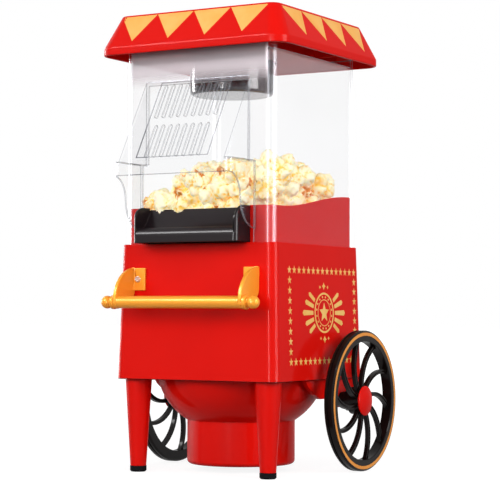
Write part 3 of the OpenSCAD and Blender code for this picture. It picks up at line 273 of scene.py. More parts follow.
# %% [markdown]
# ## Gold paint and printed inks
#
# The handle is a turned bar with cast brackets, sprayed in satin gold. The paint has fine
# metal flake: part of it reflects like metal, the rest scatters like paint, and a thin
# lacquer over both gives the pale line along the bar. The ring on each wheel and the prints
# have a like hue without the flake. The inner parts that are neither plastic nor metal,
# such as the mica cards, are flat and matt too, so they share the inks' recipe.


# %% Gold and inks
def satin_gold():
    finish = Finish("satin_gold_paint")
    drift = finish.noise(30.0, 3.0)
    flake = finish.noise(2600.0, 1.0)
    finish.set(
        Base_Color=finish.blend(drift, srgb(248, 165, 54), srgb(241, 154, 44)),
        Metallic=0.1 + 0.14 * flake,
        Roughness=0.4 + 0.08 * drift,
        Specular_IOR_Level=0.05,
        Coat_Weight=0.2,
        Coat_Roughness=0.16,
        Normal=finish.bump(flake, 0.02 * MM, 0.4, finish.soft_edge(0.5 * MM)),
    )
    return finish


def flat_ink(name, colour, shade, gloss=0.42):
    finish = Finish(name)
    grain = finish.noise(1500.0)
    finish.set(
        Base_Color=finish.blend(finish.noise(60.0, 3.0).step(0.35, 0.7), colour, shade),
        Roughness=gloss + 0.08 * grain,
        Specular_IOR_Level=0.15,
        Normal=finish.bump(grain, 0.01 * MM, 0.3, finish.soft_edge(0.1 * MM)),
    )
    return finish


gold_paint = satin_gold()
orange_trim = flat_ink("orange_ring_paint", srgb(250, 160, 56), srgb(244, 150, 48), 0.3)
pennant_ink = flat_ink("pennant_ink", srgb(255, 190, 98), srgb(254, 180, 82))
star_ink = flat_ink("star_ink", srgb(255, 206, 118), srgb(248, 190, 92))
mica = flat_ink("pressed_mica", srgb(196, 176, 132), srgb(170, 148, 104), 0.5)
sleeve = flat_ink("glass_sleeve", srgb(226, 224, 214), srgb(208, 206, 196), 0.7)
board = flat_ink("circuit_board", srgb(58, 104, 50), srgb(46, 88, 42), 0.4)
print("gold and inks ready")

# %% [markdown]
# ## Clear and smoked plastic
#
# A polished clear wall is nearly invisible face on. What the eye sees is its reflection:
# weak straight on, strong at a glancing angle. So the wall is a grey mirror whose opacity
# follows the angle, and everything behind it stays lit, which a glass shader would not
# allow without long rendering. A cut edge gathers light along the whole sheet and looks
# like a solid grey line, so edges get a finish of their own, whose grey paints that line.
# The cover's faces take shares of reflection that are painted by where they lie. The wide
# front wall has a painted reflection, a pale band towards its top where it would mirror the
# studio. The side walls get a weaker mirror and stay clearer, and the corners get a stronger
# one, a painted highlight. The ceiling has the roof's red painted in, a painted reflection of
# the roof.


# %% Clear finishes
# heights between which the front wall's painted reflection band fades in
painted_reflection_from, painted_reflection_to = 0.358, 0.378


def clear_plastic(name, colour, base, rise, power, gloss, metallic=1.0, painted_reflection=0.0):
    """Opacity is base face on and climbs by rise towards a glancing angle."""
    finish = Finish(name)
    facing = finish.node("ShaderNodeLayerWeight", {}, {"Blend": 0.5}, output="Facing")
    haze = finish.noise(14.0, 3.0)
    cover = base + 0.02 * haze + rise * facing**power
    # painted reflection: above a set height the wall turns more opaque, a pale band painted
    # where the studio would be mirrored
    if painted_reflection:
        height = finish.node("ShaderNodeSeparateXYZ", {}, {0: finish.place}, output=2)
        cover = cover + painted_reflection * height.step(painted_reflection_from, painted_reflection_to)
    finish.set(
        Base_Color=finish.blend(haze, colour, tuple(0.94 * c for c in colour)),
        Metallic=metallic,
        Roughness=gloss + 0.03 * haze,
        Alpha=cover,
    )
    return finish


clear_wall = clear_plastic("clear_wall", srgb(190, 192, 200), 0.03, 0.6, 5.0, 0.1)
# painted highlight: the cover's corners mirror more strongly than its walls, for a broader
# highlight along them
clear_corner = clear_plastic("clear_corner", srgb(204, 206, 214), 0.045, 0.5, 3.0, 0.26)
# the front wall: a pinkish grey mirror with a painted reflection band towards its top
clear_front = clear_plastic(
    "clear_front_wall", srgb(164, 155, 159), 0.04, 0.5, 3.0, 0.35, metallic=0.6, painted_reflection=0.6
)
clear_side = clear_plastic("clear_side_wall", srgb(192, 195, 206), 0.012, 0.5, 6.0, 0.16)
# painted reflection: the ceiling's pink stands for the red roof above, mirrored in and seen
# through the sheet
clear_ceiling = clear_plastic("clear_ceiling", srgb(216, 142, 148), 0.12, 0.4, 2.0, 0.35, 0.4)
# painted line: cut edges take a half-opaque grey that stands for the light the sheet gathers
# along them
clear_edge = clear_plastic("clear_cut_edge", srgb(184, 187, 196), 0.24, 0.3, 2.0, 0.3, 0.0)
# painted glint: the rods along moulded edges take a half-opaque grey that paints their line of
# light
clear_glint = clear_plastic("clear_moulded_edge", srgb(152, 155, 165), 0.34, 0.1, 2.0, 0.25, 0.4)
smoked = clear_plastic("smoked_plastic", srgb(50, 37, 43), 0.82, 0.16, 2.0, 0.1, 0.0)
print("clear finishes ready")

# %% [markdown]
# ## Metals
#
# The screws, axles and motor are zinc-plated steel; the chamber, tube and fan are drawn
# aluminium sheet with fine turning marks.


# %% Metals
def plated_metal(name, colour, shade, gloss):
    finish = Finish(name)
    sockets = {"Vector": finish.place, "Scale": (1.0, 1.0, 30.0)}
    stretched = finish.node("ShaderNodeMapping", {}, sockets)
    lines = finish.noise(120.0, 3.0, place=stretched)
    finish.set(
        Base_Color=finish.blend(lines, colour, shade),
        Metallic=1.0,
        Roughness=gloss + 0.12 * lines,
        Normal=finish.bump(lines, 0.01 * MM, 0.3, finish.soft_edge(0.2 * MM)),
    )
    return finish


steel = plated_metal("zinc_plated_steel", (0.62, 0.62, 0.64), (0.5, 0.5, 0.53), 0.25)
coil_wire = plated_metal("oxidised_wire", (0.36, 0.33, 0.3), (0.25, 0.22, 0.2), 0.5)
aluminium = plated_metal("drawn_aluminium", (0.77, 0.78, 0.8), (0.68, 0.69, 0.72), 0.3)
zinc_can = plated_metal("zinc_can", (0.56, 0.58, 0.6), (0.47, 0.49, 0.52), 0.35)
print("metals ready")

# %% [markdown]
# ## Which piece takes which finish
#
# The record names a material slot for each node, so the finishes are handed out by slot.
# Every node that stays visible gets one here, also those deep inside.

# %% Finishes by slot
finish_of_slot = {
    "red_plastic": red_plastic,
    "black_gloss": black_gloss,
    "black_plastic": black_satin,
    "gold_paint": gold_paint,
    "orange_trim": orange_trim,
    "clear_plastic": clear_wall,
    "smoked_plastic": smoked,
    "steel": steel,
    "coil_wire": coil_wire,
    "aluminium_sheet": aluminium,
    "zinc_plate": zinc_can,
    "mica": mica,
    "white_sleeve": sleeve,
    "board": board,
    "rubber": rubber,
}


def dress(piece, *finishes):
    piece.data.materials.clear()
    for finish in finishes:
        piece.data.materials.append(finish.material)


for node, slot in slot_of_node.items():
    for spot in nodes[node].material_slots:
        spot.material = finish_of_slot[slot].material
print(len(slot_of_node), "nodes dressed")

# %% [markdown]
# ## Making a piece
#
# Every new piece is linked to the scene and rides on a body, so that it lifts or turns
# with it. A piece that stands for a CAD node names the node, and the node is hidden.


# %% New pieces
def new_piece(name, mesh, body, replaced=None):
    piece = bpy.data.objects.new(name, mesh)
    bpy.context.scene.collection.objects.link(piece)
    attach(piece, body)
    if replaced:
        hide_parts(replaced)
    return piece


def stand_in(node, suffix, mesh):
    return new_piece(node + suffix, mesh, body_of_node[node], node)


# %% [markdown]
# ## Rounding moulded edges
#
# Every moulding has a small radius along its edges, and that radius is what draws a bright
# line along the roof's band, the spout's lip and the housing's corners. A copy of the
# node's mesh is welded, its flat facets are merged, and its sharp edges are bevelled; the
# copy then stands for the node. The spout's lip also gets a fuller outer corner there, so
# that it shows one broad soft highlight.

# %% Rounded copies
weld_gap = 0.002 * MM
lip_depth = 15 * MM
cheek_wall = 2.5 * MM


def long_chains(edges, shortest=14 * MM):
    """The edges that belong to a connected run of some size, so not those of small holes."""
    waiting = set(edges)
    kept = []
    while waiting:
        run, front = [], [waiting.pop()]
        while front:
            edge = front.pop()
            run.append(edge)
            for vert in edge.verts:
                for near in vert.link_edges:
                    if near in waiting:
                        waiting.remove(near)
                        front.append(near)
        spots = [vert.co for edge in run for vert in edge.verts]
        spans = [max(s[i] for s in spots) - min(s[i] for s in spots) for i in range(3)]
        if max(spans) > shortest:
            kept += run
    return kept


def fuller_lip(shape, radius=8 * MM):
    """The outer corner of the spout's lip, turned on a larger radius."""
    low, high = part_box("spout")
    lip = [
        vert
        for vert in shape.verts
        if vert.co.y < low[1] + radius
        and vert.co.z < low[2] + lip_depth
        and abs(vert.co.x) < high[0] - cheek_wall
    ]
    top = max(vert.co.z for vert in lip)
    for vert in lip:
        depth = radius - (vert.co.y - low[1])
        vert.co.z = min(vert.co.z, top - radius + math.sqrt(max(0.0, radius**2 - depth**2)))
    print("lip points", len(lip), "top at", round(top, 4))


def rounded_copy(node, radius, sharp, steps=2):
    """A stand-in for the node, with edges sharper than that many degrees on a radius."""
    mesh = nodes[node].data.copy()
    shape = bmesh.new()
    shape.from_mesh(mesh)
    bmesh.ops.remove_doubles(shape, verts=shape.verts, dist=weld_gap)
    flat = math.radians(0.4)
    bmesh.ops.dissolve_limit(shape, angle_limit=flat, verts=shape.verts, edges=shape.edges)
    if node == "spout":
        fuller_lip(shape)
    corners = long_chains(
        edge
        for edge in shape.edges
        if len(edge.link_faces) == 2 and edge.calc_face_angle() > math.radians(sharp)
    )
    bmesh.ops.bevel(
        shape,
        geom=corners,
        offset=radius,
        offset_type="OFFSET",
        segments=steps,
        profile=0.5,
        affect="EDGES",
        clamp_overlap=False,
    )
    bmesh.ops.recalc_face_normals(shape, faces=shape.faces)
    for face in shape.faces:
        face.smooth = True
    shape.to_mesh(mesh)
    shape.free()
    mesh.set_sharp_from_angle(angle=math.radians(50))
    piece = stand_in(node, "_shell", mesh)
    weigh = piece.modifiers.new("even_normals", "WEIGHTED_NORMAL")
    weigh.weight = 100
    weigh.keep_sharp = True
    dress(piece, finish_of_slot[slot_of_node[node]])
    return piece


edge_radius_mm = {
    "base_housing": (0.6, 30),
    "inner_liner": (0.5, 30),
    "spout": (0.9, 30),
    "roof": (0.9, 15),
    "front_leg_left": (0.5, 30),
    "front_leg_right": (0.5, 30),
    "handle_bracket_left": (0.6, 30),
    "handle_bracket_right": (0.6, 30),
    "hub_cap_left": (0.3, 50),
    "hub_cap_right": (0.3, 50),
}
shells = {}
for node, (radius_mm, sharp) in edge_radius_mm.items():
    shells[node] = rounded_copy(node, radius_mm * MM, sharp)
    print(node, "edges rounded by", radius_mm, "mm,", len(shells[node].data.vertices), "points")

# %% [markdown]
# ## Clear cover and hood, with their cut edges
#
# The cover and the hood are moulded sheets about 2 mm thick. Which of their faces are
# edges can be measured: from a face, look straight into the material. If the far side is
# one wall away, the face belongs to the broad sheet; if it is much further, the face is a
# cut edge, such as the inside of a vent slot.


# %% Clear pieces
WALL, EDGE, FRONT, SIDE, CEILING, CORNER = range(6)
edge_walls = 1.7
square_on = 0.97
lying_flat = 0.8
clear_kinds = (clear_wall, clear_edge, clear_front, clear_side, clear_ceiling, clear_corner)


def kind_of_face(node, face, depth, wall):
    across, deep, up = (abs(value) for value in face.normal)
    if depth is not None and depth > edge_walls * wall:
        return EDGE
    if node != "clear_cover":
        return WALL
    if deep > square_on and face.center.y < 0:
        return FRONT
    if max(across, deep) > square_on:
        return SIDE
    return CEILING if up > lying_flat else CORNER


def clear_copy(node, wall):
    mesh = nodes[node].data.copy()
    inside = BVHTree.FromPolygons(
        [v.co for v in mesh.vertices], [p.vertices for p in mesh.polygons], epsilon=0.0
    )
    kinds = []
    for face in mesh.polygons:
        start = face.center - face.normal * 0.01 * MM
        depth = inside.ray_cast(start, -face.normal)[3]
        kinds.append(kind_of_face(node, face, depth, wall))
    dress(stand_in(node, "_sheet", mesh), *clear_kinds)
    mesh.polygons.foreach_set("material_index", kinds)
    print(node, "facets by finish:", [kinds.count(kind) for kind in range(len(clear_kinds))])


clear_copy("clear_cover", 2.2 * MM)
clear_copy("chute_hood", 1.8 * MM)

# %% [markdown]
# ## Bright moulded edges
#
# Light that travels inside a clear sheet leaves it along the moulded edges, so these show
# as fine lines: the rim of the hood's panel, its step and skirt, and the outline of every
# vent slot. Each sharp edge of the outer side gets a hair-thin grey rod that lies just inside
# it and paints that line of light and shade.


# %% Lines along sharp edges
faces_out = 0.45
rod_corners = ((1, 1), (-1, 1), (-1, -1), (1, -1))


def edge_lines(node, thickness, sharp=35.0):
    """Rods along the node's edges that are sharper than that many degrees."""
    low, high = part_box("clear_cover")
    middle = (Vector(low) + Vector(high)) / 2
    shape = bmesh.new()
    shape.from_mesh(nodes[node].data)
    bmesh.ops.remove_doubles(shape, verts=shape.verts, dist=weld_gap)
    rods = bmesh.new()
    for edge in shape.edges:
        if len(edge.link_faces) != 2 or edge.calc_face_angle() < math.radians(sharp):
            continue
        first, second = (face.normal for face in edge.link_faces)
        away = ((edge.verts[0].co + edge.verts[1].co) / 2 - middle).normalized()
        if max(first.dot(away), second.dot(away)) < faces_out:
            continue
        out = (first + second).normalized()
        start, end = (vert.co - out * thickness * 1.1 for vert in edge.verts)
        along = (end - start).normalized()
        across = along.cross(out) * thickness / 2
        depth = out * thickness / 2
        rings = [
            [rods.verts.new(spot + across * s + depth * t) for s, t in rod_corners]
            for spot in (start + along * thickness / 4, end - along * thickness / 4)
        ]
        for i in range(4):
            j = (i + 1) % 4
            rods.faces.new((rings[0][i], rings[0][j], rings[1][j], rings[1][i]))
        rods.faces.new(rings[0][::-1])
        rods.faces.new(rings[1])
    bmesh.ops.recalc_face_normals(rods, faces=rods.faces)
    mesh = bpy.data.meshes.new(node + "_edges")
    rods.to_mesh(mesh)
    rods.free()
    shape.free()
    dress(new_piece(mesh.name, mesh, body_of_node[node]), clear_glint)
    print(node, "has", len(mesh.vertices) // 8, "edge lines")


edge_lines("chute_hood", 0.4 * MM)
edge_lines("clear_cover", 0.4 * MM, sharp=60.0)

# %% [markdown]
# ## Prints
#
# The pennants on the roof and the stars on the side walls are printed with thick ink. On
# the model each print is a very thin solid that lies on the wall, half sunk, so it has a
# crisp outline at any distance. A flat shape is a list of points in the wall's own two
# directions, and a function turns such a point and a height into a place in space.

# %% Thin solids on a wall
ink_up = 0.06 * MM
ink_down = 0.05 * MM


def star_outline(across, up, radius, inner=0.38, points=5):
    outline = []
    for corner in range(2 * points):
        reach = radius if corner % 2 == 0 else radius * inner
        angle = math.pi / 2 + corner * math.pi / points
        outline.append((across + reach * math.cos(angle), up + reach * math.sin(angle)))
    return outline


def ring_outlines(across, up, outer, inner, parts=48):
    """A ring as short four-cornered pieces, which share their ends."""
    spots = [2 * math.pi * i / parts for i in range(parts + 1)]
    outlines = []
    for start, end in zip(spots, spots[1:]):
        corners = ((outer, start), (outer, end), (inner, end), (inner, start))
        outlines.append([(across + r * math.cos(a), up + r * math.sin(a)) for r, a in corners])
    return outlines


def print_mesh(name, outlines, place):
    shape = bmesh.new()
    for outline in outlines:
        top = [shape.verts.new(place(u, v, ink_up)) for u, v in outline]
        bottom = [shape.verts.new(place(u, v, -ink_down)) for u, v in outline]
        shape.faces.new(top)
        shape.faces.new(reversed(bottom))
        for i in range(len(top)):
            j = (i + 1) % len(top)
            shape.faces.new((top[j], top[i], bottom[i], bottom[j]))
    bmesh.ops.remove_doubles(shape, verts=shape.verts, dist=0.001 * MM)
    bmesh.ops.recalc_face_normals(shape, faces=shape.faces)
    mesh = bpy.data.meshes.new(name)
    shape.to_mesh(mesh)
    shape.free()
    return mesh


housing_low, housing_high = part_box("base_housing")
cover_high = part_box("clear_cover")[1]
plan_centre = (housing_low[1] + housing_high[1]) / 2
half_low = housing_high[0]
cover_margin = 2.4 * MM
half_high = cover_high[0] + cover_margin
housing_lean = (half_low - half_high) / (housing_high[2] - housing_low[2])


def on_side_wall(side):
    """Places a print on the housing's right (1) or left (-1) wall: u runs back, v runs up."""

    def place(u, v, height):
        wall = half_low - (v - housing_low[2]) * housing_lean
        return Vector((side * (wall + height), plan_centre + u, v))

    return place


print("side wall leans", round(math.degrees(math.atan(housing_lean)), 2), "degrees")

# %% [markdown]
# ## Star border and medallion
#
# The border is a frame of slim five-pointed stars, a few millimetres across, evenly spaced
# along four lines. Inside it stands a medallion of plain ornament: a ring with a star, a
# circle of dots, and a fan of rays to each side with a small diamond above and below.

# %% Border of stars
star_radius = 4.0 * MM
border_front, border_back = -57.0 * MM, 70.5 * MM
border_low, border_high = 105.0 * MM, 189.0 * MM
stars_along, stars_up = 15, 8


def border_stars():
    spots = []
    for i in range(stars_along):
        u = border_front + (border_back - border_front) * i / (stars_along - 1)
        spots += [(u, border_high), (u, border_low)]
    for i in range(1, stars_up + 1):
        v = border_low + (border_high - border_low) * i / (stars_up + 1)
        spots += [(border_front, v), (border_back, v)]
    return [star_outline(u, v, star_radius) for u, v in spots]


def ray_outline(u, v, side, turn, near=21.5 * MM, spread=0.085):
    """One ray of the fan, as a bar that widens outwards and ends in a blunt point."""
    middle = math.radians(turn)
    far = (40.0 - 0.22 * abs(turn)) * MM
    tip = far + 2 * MM
    narrow = spread * 0.75
    corners = ((near, spread), (far, narrow), (tip, 0.0), (far, -narrow), (near, -spread))
    return [
        (u + side * r * math.cos(middle + a), v + r * math.sin(middle + a)) for r, a in corners
    ]


def medallion(u=8.5 * MM, v=150.0 * MM, dots=16, dot_circle=14.9 * MM):
    outlines = ring_outlines(u, v, 19.0 * MM, 17.2 * MM)
    outlines += ring_outlines(u, v, 12.6 * MM, 11.9 * MM)
    outlines.append(star_outline(u, v, 9.6 * MM, 0.45))
    for i in range(dots):
        angle = 2 * math.pi * (i + 0.5) / dots
        spot = (u + dot_circle * math.cos(angle), v + dot_circle * math.sin(angle))
        outlines.append(star_outline(*spot, 1.1 * MM, 0.9, 4))
    for side in (-1, 1):
        outlines += [ray_outline(u, v, side, turn) for turn in (-32, -16, 0, 16, 32)]
        outlines.append(star_outline(u, v + side * 25.0 * MM, 3.4 * MM, 0.55, 4))
        for end in (-1, 1):
            spot = (u + end * 7.5 * MM, v + side * 24.0 * MM)
            outlines.append(star_outline(*spot, 1.7 * MM, 0.6, 4))
    return outlines


for side, word in ((1, "right"), (-1, "left")):
    for kind, outlines in (("star_border_", border_stars()), ("medallion_", medallion())):
        mesh = print_mesh(kind + word, outlines, on_side_wall(side))
        dress(new_piece(kind + word, mesh, "base"), star_ink)
print(len(border_stars()), "stars a side")

# %% [markdown]
# ## Pennants on the roof
#
# Four pennants hang down each slope, from just under the flat top almost to the band. The
# outer ones wrap round the roof's soft corners, so a pennant is a small net of points. Each
# point starts outside the roof, on a line that crosses the slope, and stops where that line
# meets the roof's skin.

# %% Pennants
roof_low, roof_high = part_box("roof")
roof_half = roof_high[0]
roof_band = 6.8 * MM
slope_foot = Vector((0, -roof_half, roof_low[2] + roof_band))
roof_shell = shells["roof"].data
roof_top = [v.co.x for v in roof_shell.vertices if v.co.z > roof_high[2] - 0.3 * MM]
slope_head = Vector((0, -max(roof_top), roof_high[2]))
cast_out = Vector((0, slope_foot.z - slope_head.z, slope_foot.y - slope_head.y)).normalized()
cast_length = 20 * MM
roof_skin = BVHTree.FromPolygons(
    [v.co for v in roof_shell.vertices], [p.vertices for p in roof_shell.polygons]
)


def on_slope(turn, across, climb, height):
    """A point on the slope that faces -Y, turned about the upright axis by quarter turns."""
    quarter = Matrix.Rotation(turn * math.pi / 2, 3, "Z")
    middle = Vector((0, plan_centre, 0))
    out = quarter @ cast_out
    flat = slope_foot.lerp(slope_head, climb) + Vector((across, 0, 0))
    start = quarter @ flat + middle + out * cast_length
    hit = roof_skin.ray_cast(start, -out)[0]
    return hit + out * height


def pennant(shape, turn, left, right, tip, high, low, rows=14, columns=16):
    """A triangle of ink: a net of points above the skin, one below it, and a rim."""
    layers = []
    for height in (ink_up, -ink_down):
        net = []
        for row in range(rows):
            share = row / rows
            climb = high + (low - high) * share
            net.append([
                shape.verts.new(on_slope(
                    turn,
                    (left + (right - left) * column / columns) * (1 - share) + tip * share,
                    climb,
                    height,
                ))
                for column in range(columns + 1)
            ])
        layers.append((net, shape.verts.new(on_slope(turn, tip, low, height))))
    for net, point in layers:
        for upper, lower in zip(net, net[1:]):
            for i in range(columns):
                shape.faces.new((upper[i], upper[i + 1], lower[i + 1], lower[i]))
        for i in range(columns):
            shape.faces.new((net[-1][i], net[-1][i + 1], point))
    rims = [
        list(net[0]) + [row[-1] for row in net[1:]] + [point] + [row[0] for row in net[:0:-1]]
        for net, point in layers
    ]
    for i in range(len(rims[0])):
        j = (i + 1) % len(rims[0])
        shape.faces.new((rims[0][i], rims[0][j], rims[1][j], rims[1][i]))


def pennants(name, turn, start, pitch, lean, high, low):
    shape = bmesh.new()
    for i in range(4):
        left = start + i * pitch
        right = left + pitch - 0.7 * MM
        pennant(shape, turn, left, right, (left + right) / 2 + lean, high, low)
    bmesh.ops.recalc_face_normals(shape, faces=shape.faces)
    mesh = bpy.data.meshes.new(name)
    shape.to_mesh(mesh)
    shape.free()
    mesh.set_sharp_from_angle(angle=math.radians(40))
    dress(new_piece(name, mesh, "roof"), pennant_ink)


pennants("pennants_front", 0, -80.4 * MM, 39.9 * MM, -1.6 * MM, 0.95, 0.16)
pennants("pennants_right", 1, -79.0 * MM, 38.9 * MM, 10.0 * MM, 0.93, 0.16)
pennants("pennants_rear", 2, -79.8 * MM, 39.9 * MM, 0.0, 0.95, 0.16)
pennants("pennants_left", 3, -76.6 * MM, 38.9 * MM, -10.0 * MM, 0.93, 0.16)
print("pennants lie on four slopes")

# %% [markdown]
# ## Popcorn
# A popped kernel is a cluster of soft lobes around a small brown hull. Seen from its
# middle, each direction leaves the cluster through one lobe, so a fine ball whose points
# are pushed out to the furthest lobe has the right bulges, and a crease wherever two lobes
# meet. Each point remembers how deep in a crease it lies and how near it is to the hull,
# as a colour attribute that the finish reads: cream on the lobes, butter yellow in random
# patches and, as painted shade, in the creases, and caramel at the hull and, as more
# painted shade, in deep creases.


# %% One popped kernel
golden_angle = 2.399963
fold_layers = ((2.0, 0.3), (4.2, 0.2), (8.5, 0.08), (17.0, 0.03))


def lobe_reach(direction, lobe, radius):
    """How far a ray from the middle runs before it leaves a lobe."""
    along = direction.dot(lobe)
    inside = along * along - lobe.length_squared + radius * radius
    return along + math.sqrt(inside) if inside > 0 else 0.0


def popped_kernel(seed, fineness, softness=0.05):
    """Points, creases and faces of one kernel of about unit radius."""
    dice = random.Random(seed)
    count = dice.randint(6, 9)
    hull = Vector((dice.gauss(0, 1), dice.gauss(0, 1), dice.gauss(0, 1))).normalized()
    lobes = [(Vector((0, 0, 0)), 0.5)]
    for i in range(count):
        level = 1 - 2 * (i + 0.5) / count
        angle = i * golden_angle + dice.uniform(-0.5, 0.5)
        ring = math.sqrt(1 - level * level)
        spot = Vector((ring * math.cos(angle), ring * math.sin(angle), level))
        near_hull = max(0.0, spot.dot(hull))
        middle = spot * dice.uniform(0.38, 0.66)
        lobes.append((middle, dice.uniform(0.34, 0.56) * (1 - 0.45 * near_hull)))
    shape = bmesh.new()
    bmesh.ops.create_icosphere(shape, subdivisions=fineness, radius=1.0)
    marks = []
    offset = Vector((seed * 3.7, seed * 1.3, seed * 2.1))
    for vert in shape.verts:
        direction = vert.co.normalized()
        reaches = [lobe_reach(direction, *lobe) for lobe in lobes]
        furthest = max(reaches)
        rivals = sum(math.exp((r - furthest) / softness) for r in reaches)
        blended = furthest + softness * math.log(rivals)
        crease = min(1.0, (blended - furthest) / (0.8 * softness))
        folds = ripple = 0.0
        for pace, depth in fold_layers:
            fold = abs(noise.noise(direction * pace + offset))
            ripple += depth * (fold - 0.2)
            folds = max(folds, (1 - fold / 0.07) * min(1.0, depth / 0.15))
        crease = max(crease, 0.8 * folds)
        vert.co = direction * furthest * (1 + ripple - 0.1 * crease)
        near = direction.dot(hull) + 0.35 * noise.noise(direction * 4 + offset)
        marks.append((crease, min(1.0, max(0.0, (near - 0.6) / 0.35))))
    points = [vert.co.copy() for vert in shape.verts]
    faces = [[v.index for v in face.verts] for face in shape.faces]
    shape.free()
    return points, marks, faces


def popcorn_finish():
    finish = Finish("popped_corn")
    marks = finish.node("ShaderNodeVertexColor", {"layer_name": "marks"})
    crease = finish.node("ShaderNodeSeparateColor", {}, {"Color": marks})
    hull = Wire(finish, crease.socket.node.outputs["Green"])
    tone = Wire(finish, crease.socket.node.outputs["Blue"])
    patches = finish.noise(70.0, 3.0, 0.6)
    fluff = finish.noise(480.0, 4.0, 0.65)
    # painted shade: the crease term turns the cream to butter yellow and then caramel in the
    # creases; patches, tone and fluff add random tone, and the hull its own caramel
    butter_and_crease_shade = (crease * 0.85 + patches * 1.2 + tone * 0.35 + fluff * 0.3 - 0.9).step(0.0, 0.8)
    caramel_and_crease_shade = hull + crease * hull * 0.6 + crease * patches * 0.7 + fluff * 0.4 - 0.72
    caramel_and_crease_shade = caramel_and_crease_shade.step(0.0, 0.8)
    flesh = finish.blend(butter_and_crease_shade, srgb(255, 248, 214), srgb(255, 202, 74))
    skin = finish.blend(caramel_and_crease_shade, flesh, srgb(208, 122, 26))
    finish.set(
        Base_Color=skin,
        Roughness=0.6 + 0.2 * fluff,
        Specular_IOR_Level=0.25,
        Subsurface_Weight=0.25,
        Subsurface_Scale=3.0 * MM,
        # painted light: the kernels glow faintly in their own colour, though they are no lamp,
        # to brighten the heap inside the cover
        Emission_Color=skin,
        Emission_Strength=0.18,
        Normal=finish.bump(fluff + 0.5 * patches, 0.6 * MM, 0.4, finish.soft_edge(0.4 * MM)),
    )
    return finish


popcorn = popcorn_finish()
kernel_kinds = [popped_kernel(seed, 4) for seed in range(1, 10)]
print(len(kernel_kinds), "kinds of popped kernel,", len(kernel_kinds[0][0]), "points each")

# %% [markdown]
# ## The heap
#
# The heap fills the liner and rises to a soft dome. Kernels are dealt out on a
# loose triangular grid in a few layers below the heap's surface, each turned at random and
# nudged, so that they nestle without a visible pattern. Deep layers would never be seen,
# so there are only as many as can show through a gap.

# %% The heap of popcorn
liner_low, liner_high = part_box("inner_liner")
heap_half = liner_high[0] - 15.5 * MM
heap_front = liner_low[1] + 9.5 * MM
heap_back = liner_high[1] - 15.5 * MM
heap_middle = (0.017, 0.004)
heap_spread = (0.077, 0.089)
heap_edge = 0.260
heap_rise = 0.036
kernel_pitch = 20.5 * MM
kernel_sink = 9 * MM
layer_drop = 15.0 * MM
layers_dealt = 3
nudge = 3.2 * MM
full_turn, half_turn = 6.28, 3.14
cup_low, cup_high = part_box("measuring_cup")
cup_middle = Vector(((cup_low[0] + cup_high[0]) / 2, (cup_low[1] + cup_high[1]) / 2))
cup_air = 1 * MM
cup_reach = (cup_high[0] - cup_low[0]) / 2 + cup_air
cup_travel = 60 * MM
cup_floor = cup_low[2] - cup_travel - cup_air
dice = random.Random(23)
print("the heap stays under z =", round(cup_floor, 4), "where the cup comes down")


def heap_height(x, y):
    """A low dome, a little to the right of the middle and to the back of it."""
    across = (x - heap_middle[0]) / heap_spread[0]
    along = (y - heap_middle[1]) / heap_spread[1]
    return heap_edge + heap_rise * math.sqrt(max(0.0, 1 - (across**2 + along**2)))


def inside_walls(point, wall=3.2 * MM, mouth=48 * MM):
    """A kernel that meets a wall lies flat against it; at the mouth it may lean out."""
    side = liner_high[0] - wall
    front = liner_low[1] + (wall if abs(point.x) > mouth else -2 * MM)
    back = liner_high[1] - wall
    return Vector((max(-side, min(side, point.x)), max(front, min(back, point.y)), point.z))


def clear_of_cup(kernel):
    """The cup comes down when it is pulled out, so flakes below it lie lower."""
    below = [point.z for point in kernel if (point.xy - cup_middle).length < cup_reach]
    drop = max(0.0, max(below, default=0.0) - cup_floor)
    return [point - Vector((0, 0, drop)) for point in kernel]


def deal_kernels():
    """Where each kernel lies and how large it is."""
    dealt = []
    for layer in range(layers_dealt):
        shift = layer * 0.37 * kernel_pitch
        row = 0
        y = heap_front + 0.4 * shift
        while y <= heap_back:
            x = -heap_half + (0.5 * kernel_pitch if row % 2 else 0.0) + shift * 0.5
            while x <= heap_half:
                jitter = [dice.uniform(-nudge, nudge) for _ in range(3)]
                spot = Vector((x + jitter[0], y + jitter[1], 0))
                depth = kernel_sink + layer * layer_drop
                spot.z = heap_height(spot.x, spot.y) - depth + jitter[2]
                dealt.append((spot, dice.uniform(13.0, 17.0) * MM))
                x += kernel_pitch
            y += kernel_pitch * 0.87
            row += 1
    return dealt


def any_turn():
    turn = Matrix.Rotation(dice.uniform(0, full_turn), 3, "Z")
    turn = turn @ Matrix.Rotation(dice.uniform(0, half_turn), 3, "X")
    return turn @ Matrix.Rotation(dice.uniform(0, full_turn), 3, "Z")


def heap_mesh(kernels):
    points, faces, marks = [], [], []
    for spot, size in kernels:
        kind_points, kind_marks, kind_faces = dice.choice(kernel_kinds)
        turn = any_turn()
        wide, deep = dice.uniform(0.88, 1.12), dice.uniform(0.88, 1.12)
        stretch = Vector((wide, deep, dice.uniform(0.85, 1.05)))
        tone = dice.random()
        start = len(points)
        placed = [inside_walls(turn @ (point * stretch * size) + spot) for point in kind_points]
        points += clear_of_cup(placed)
        marks += [(crease, hull, tone, 1.0) for crease, hull in kind_marks]
        faces += [[start + i for i in face] for face in kind_faces]
    mesh = bpy.data.meshes.new("popcorn_heap")
    mesh.from_pydata(points, [], faces)
    layer = mesh.color_attributes.new("marks", "FLOAT_COLOR", "POINT")
    layer.data.foreach_set("color", [value for mark in marks for value in mark])
    mesh.shade_smooth()
    return mesh


kernels = deal_kernels()
heap = new_piece("popcorn_heap", heap_mesh(kernels), "base")
dress(heap, popcorn)
print(len(kernels), "kernels in the heap,", len(heap.data.vertices), "points")

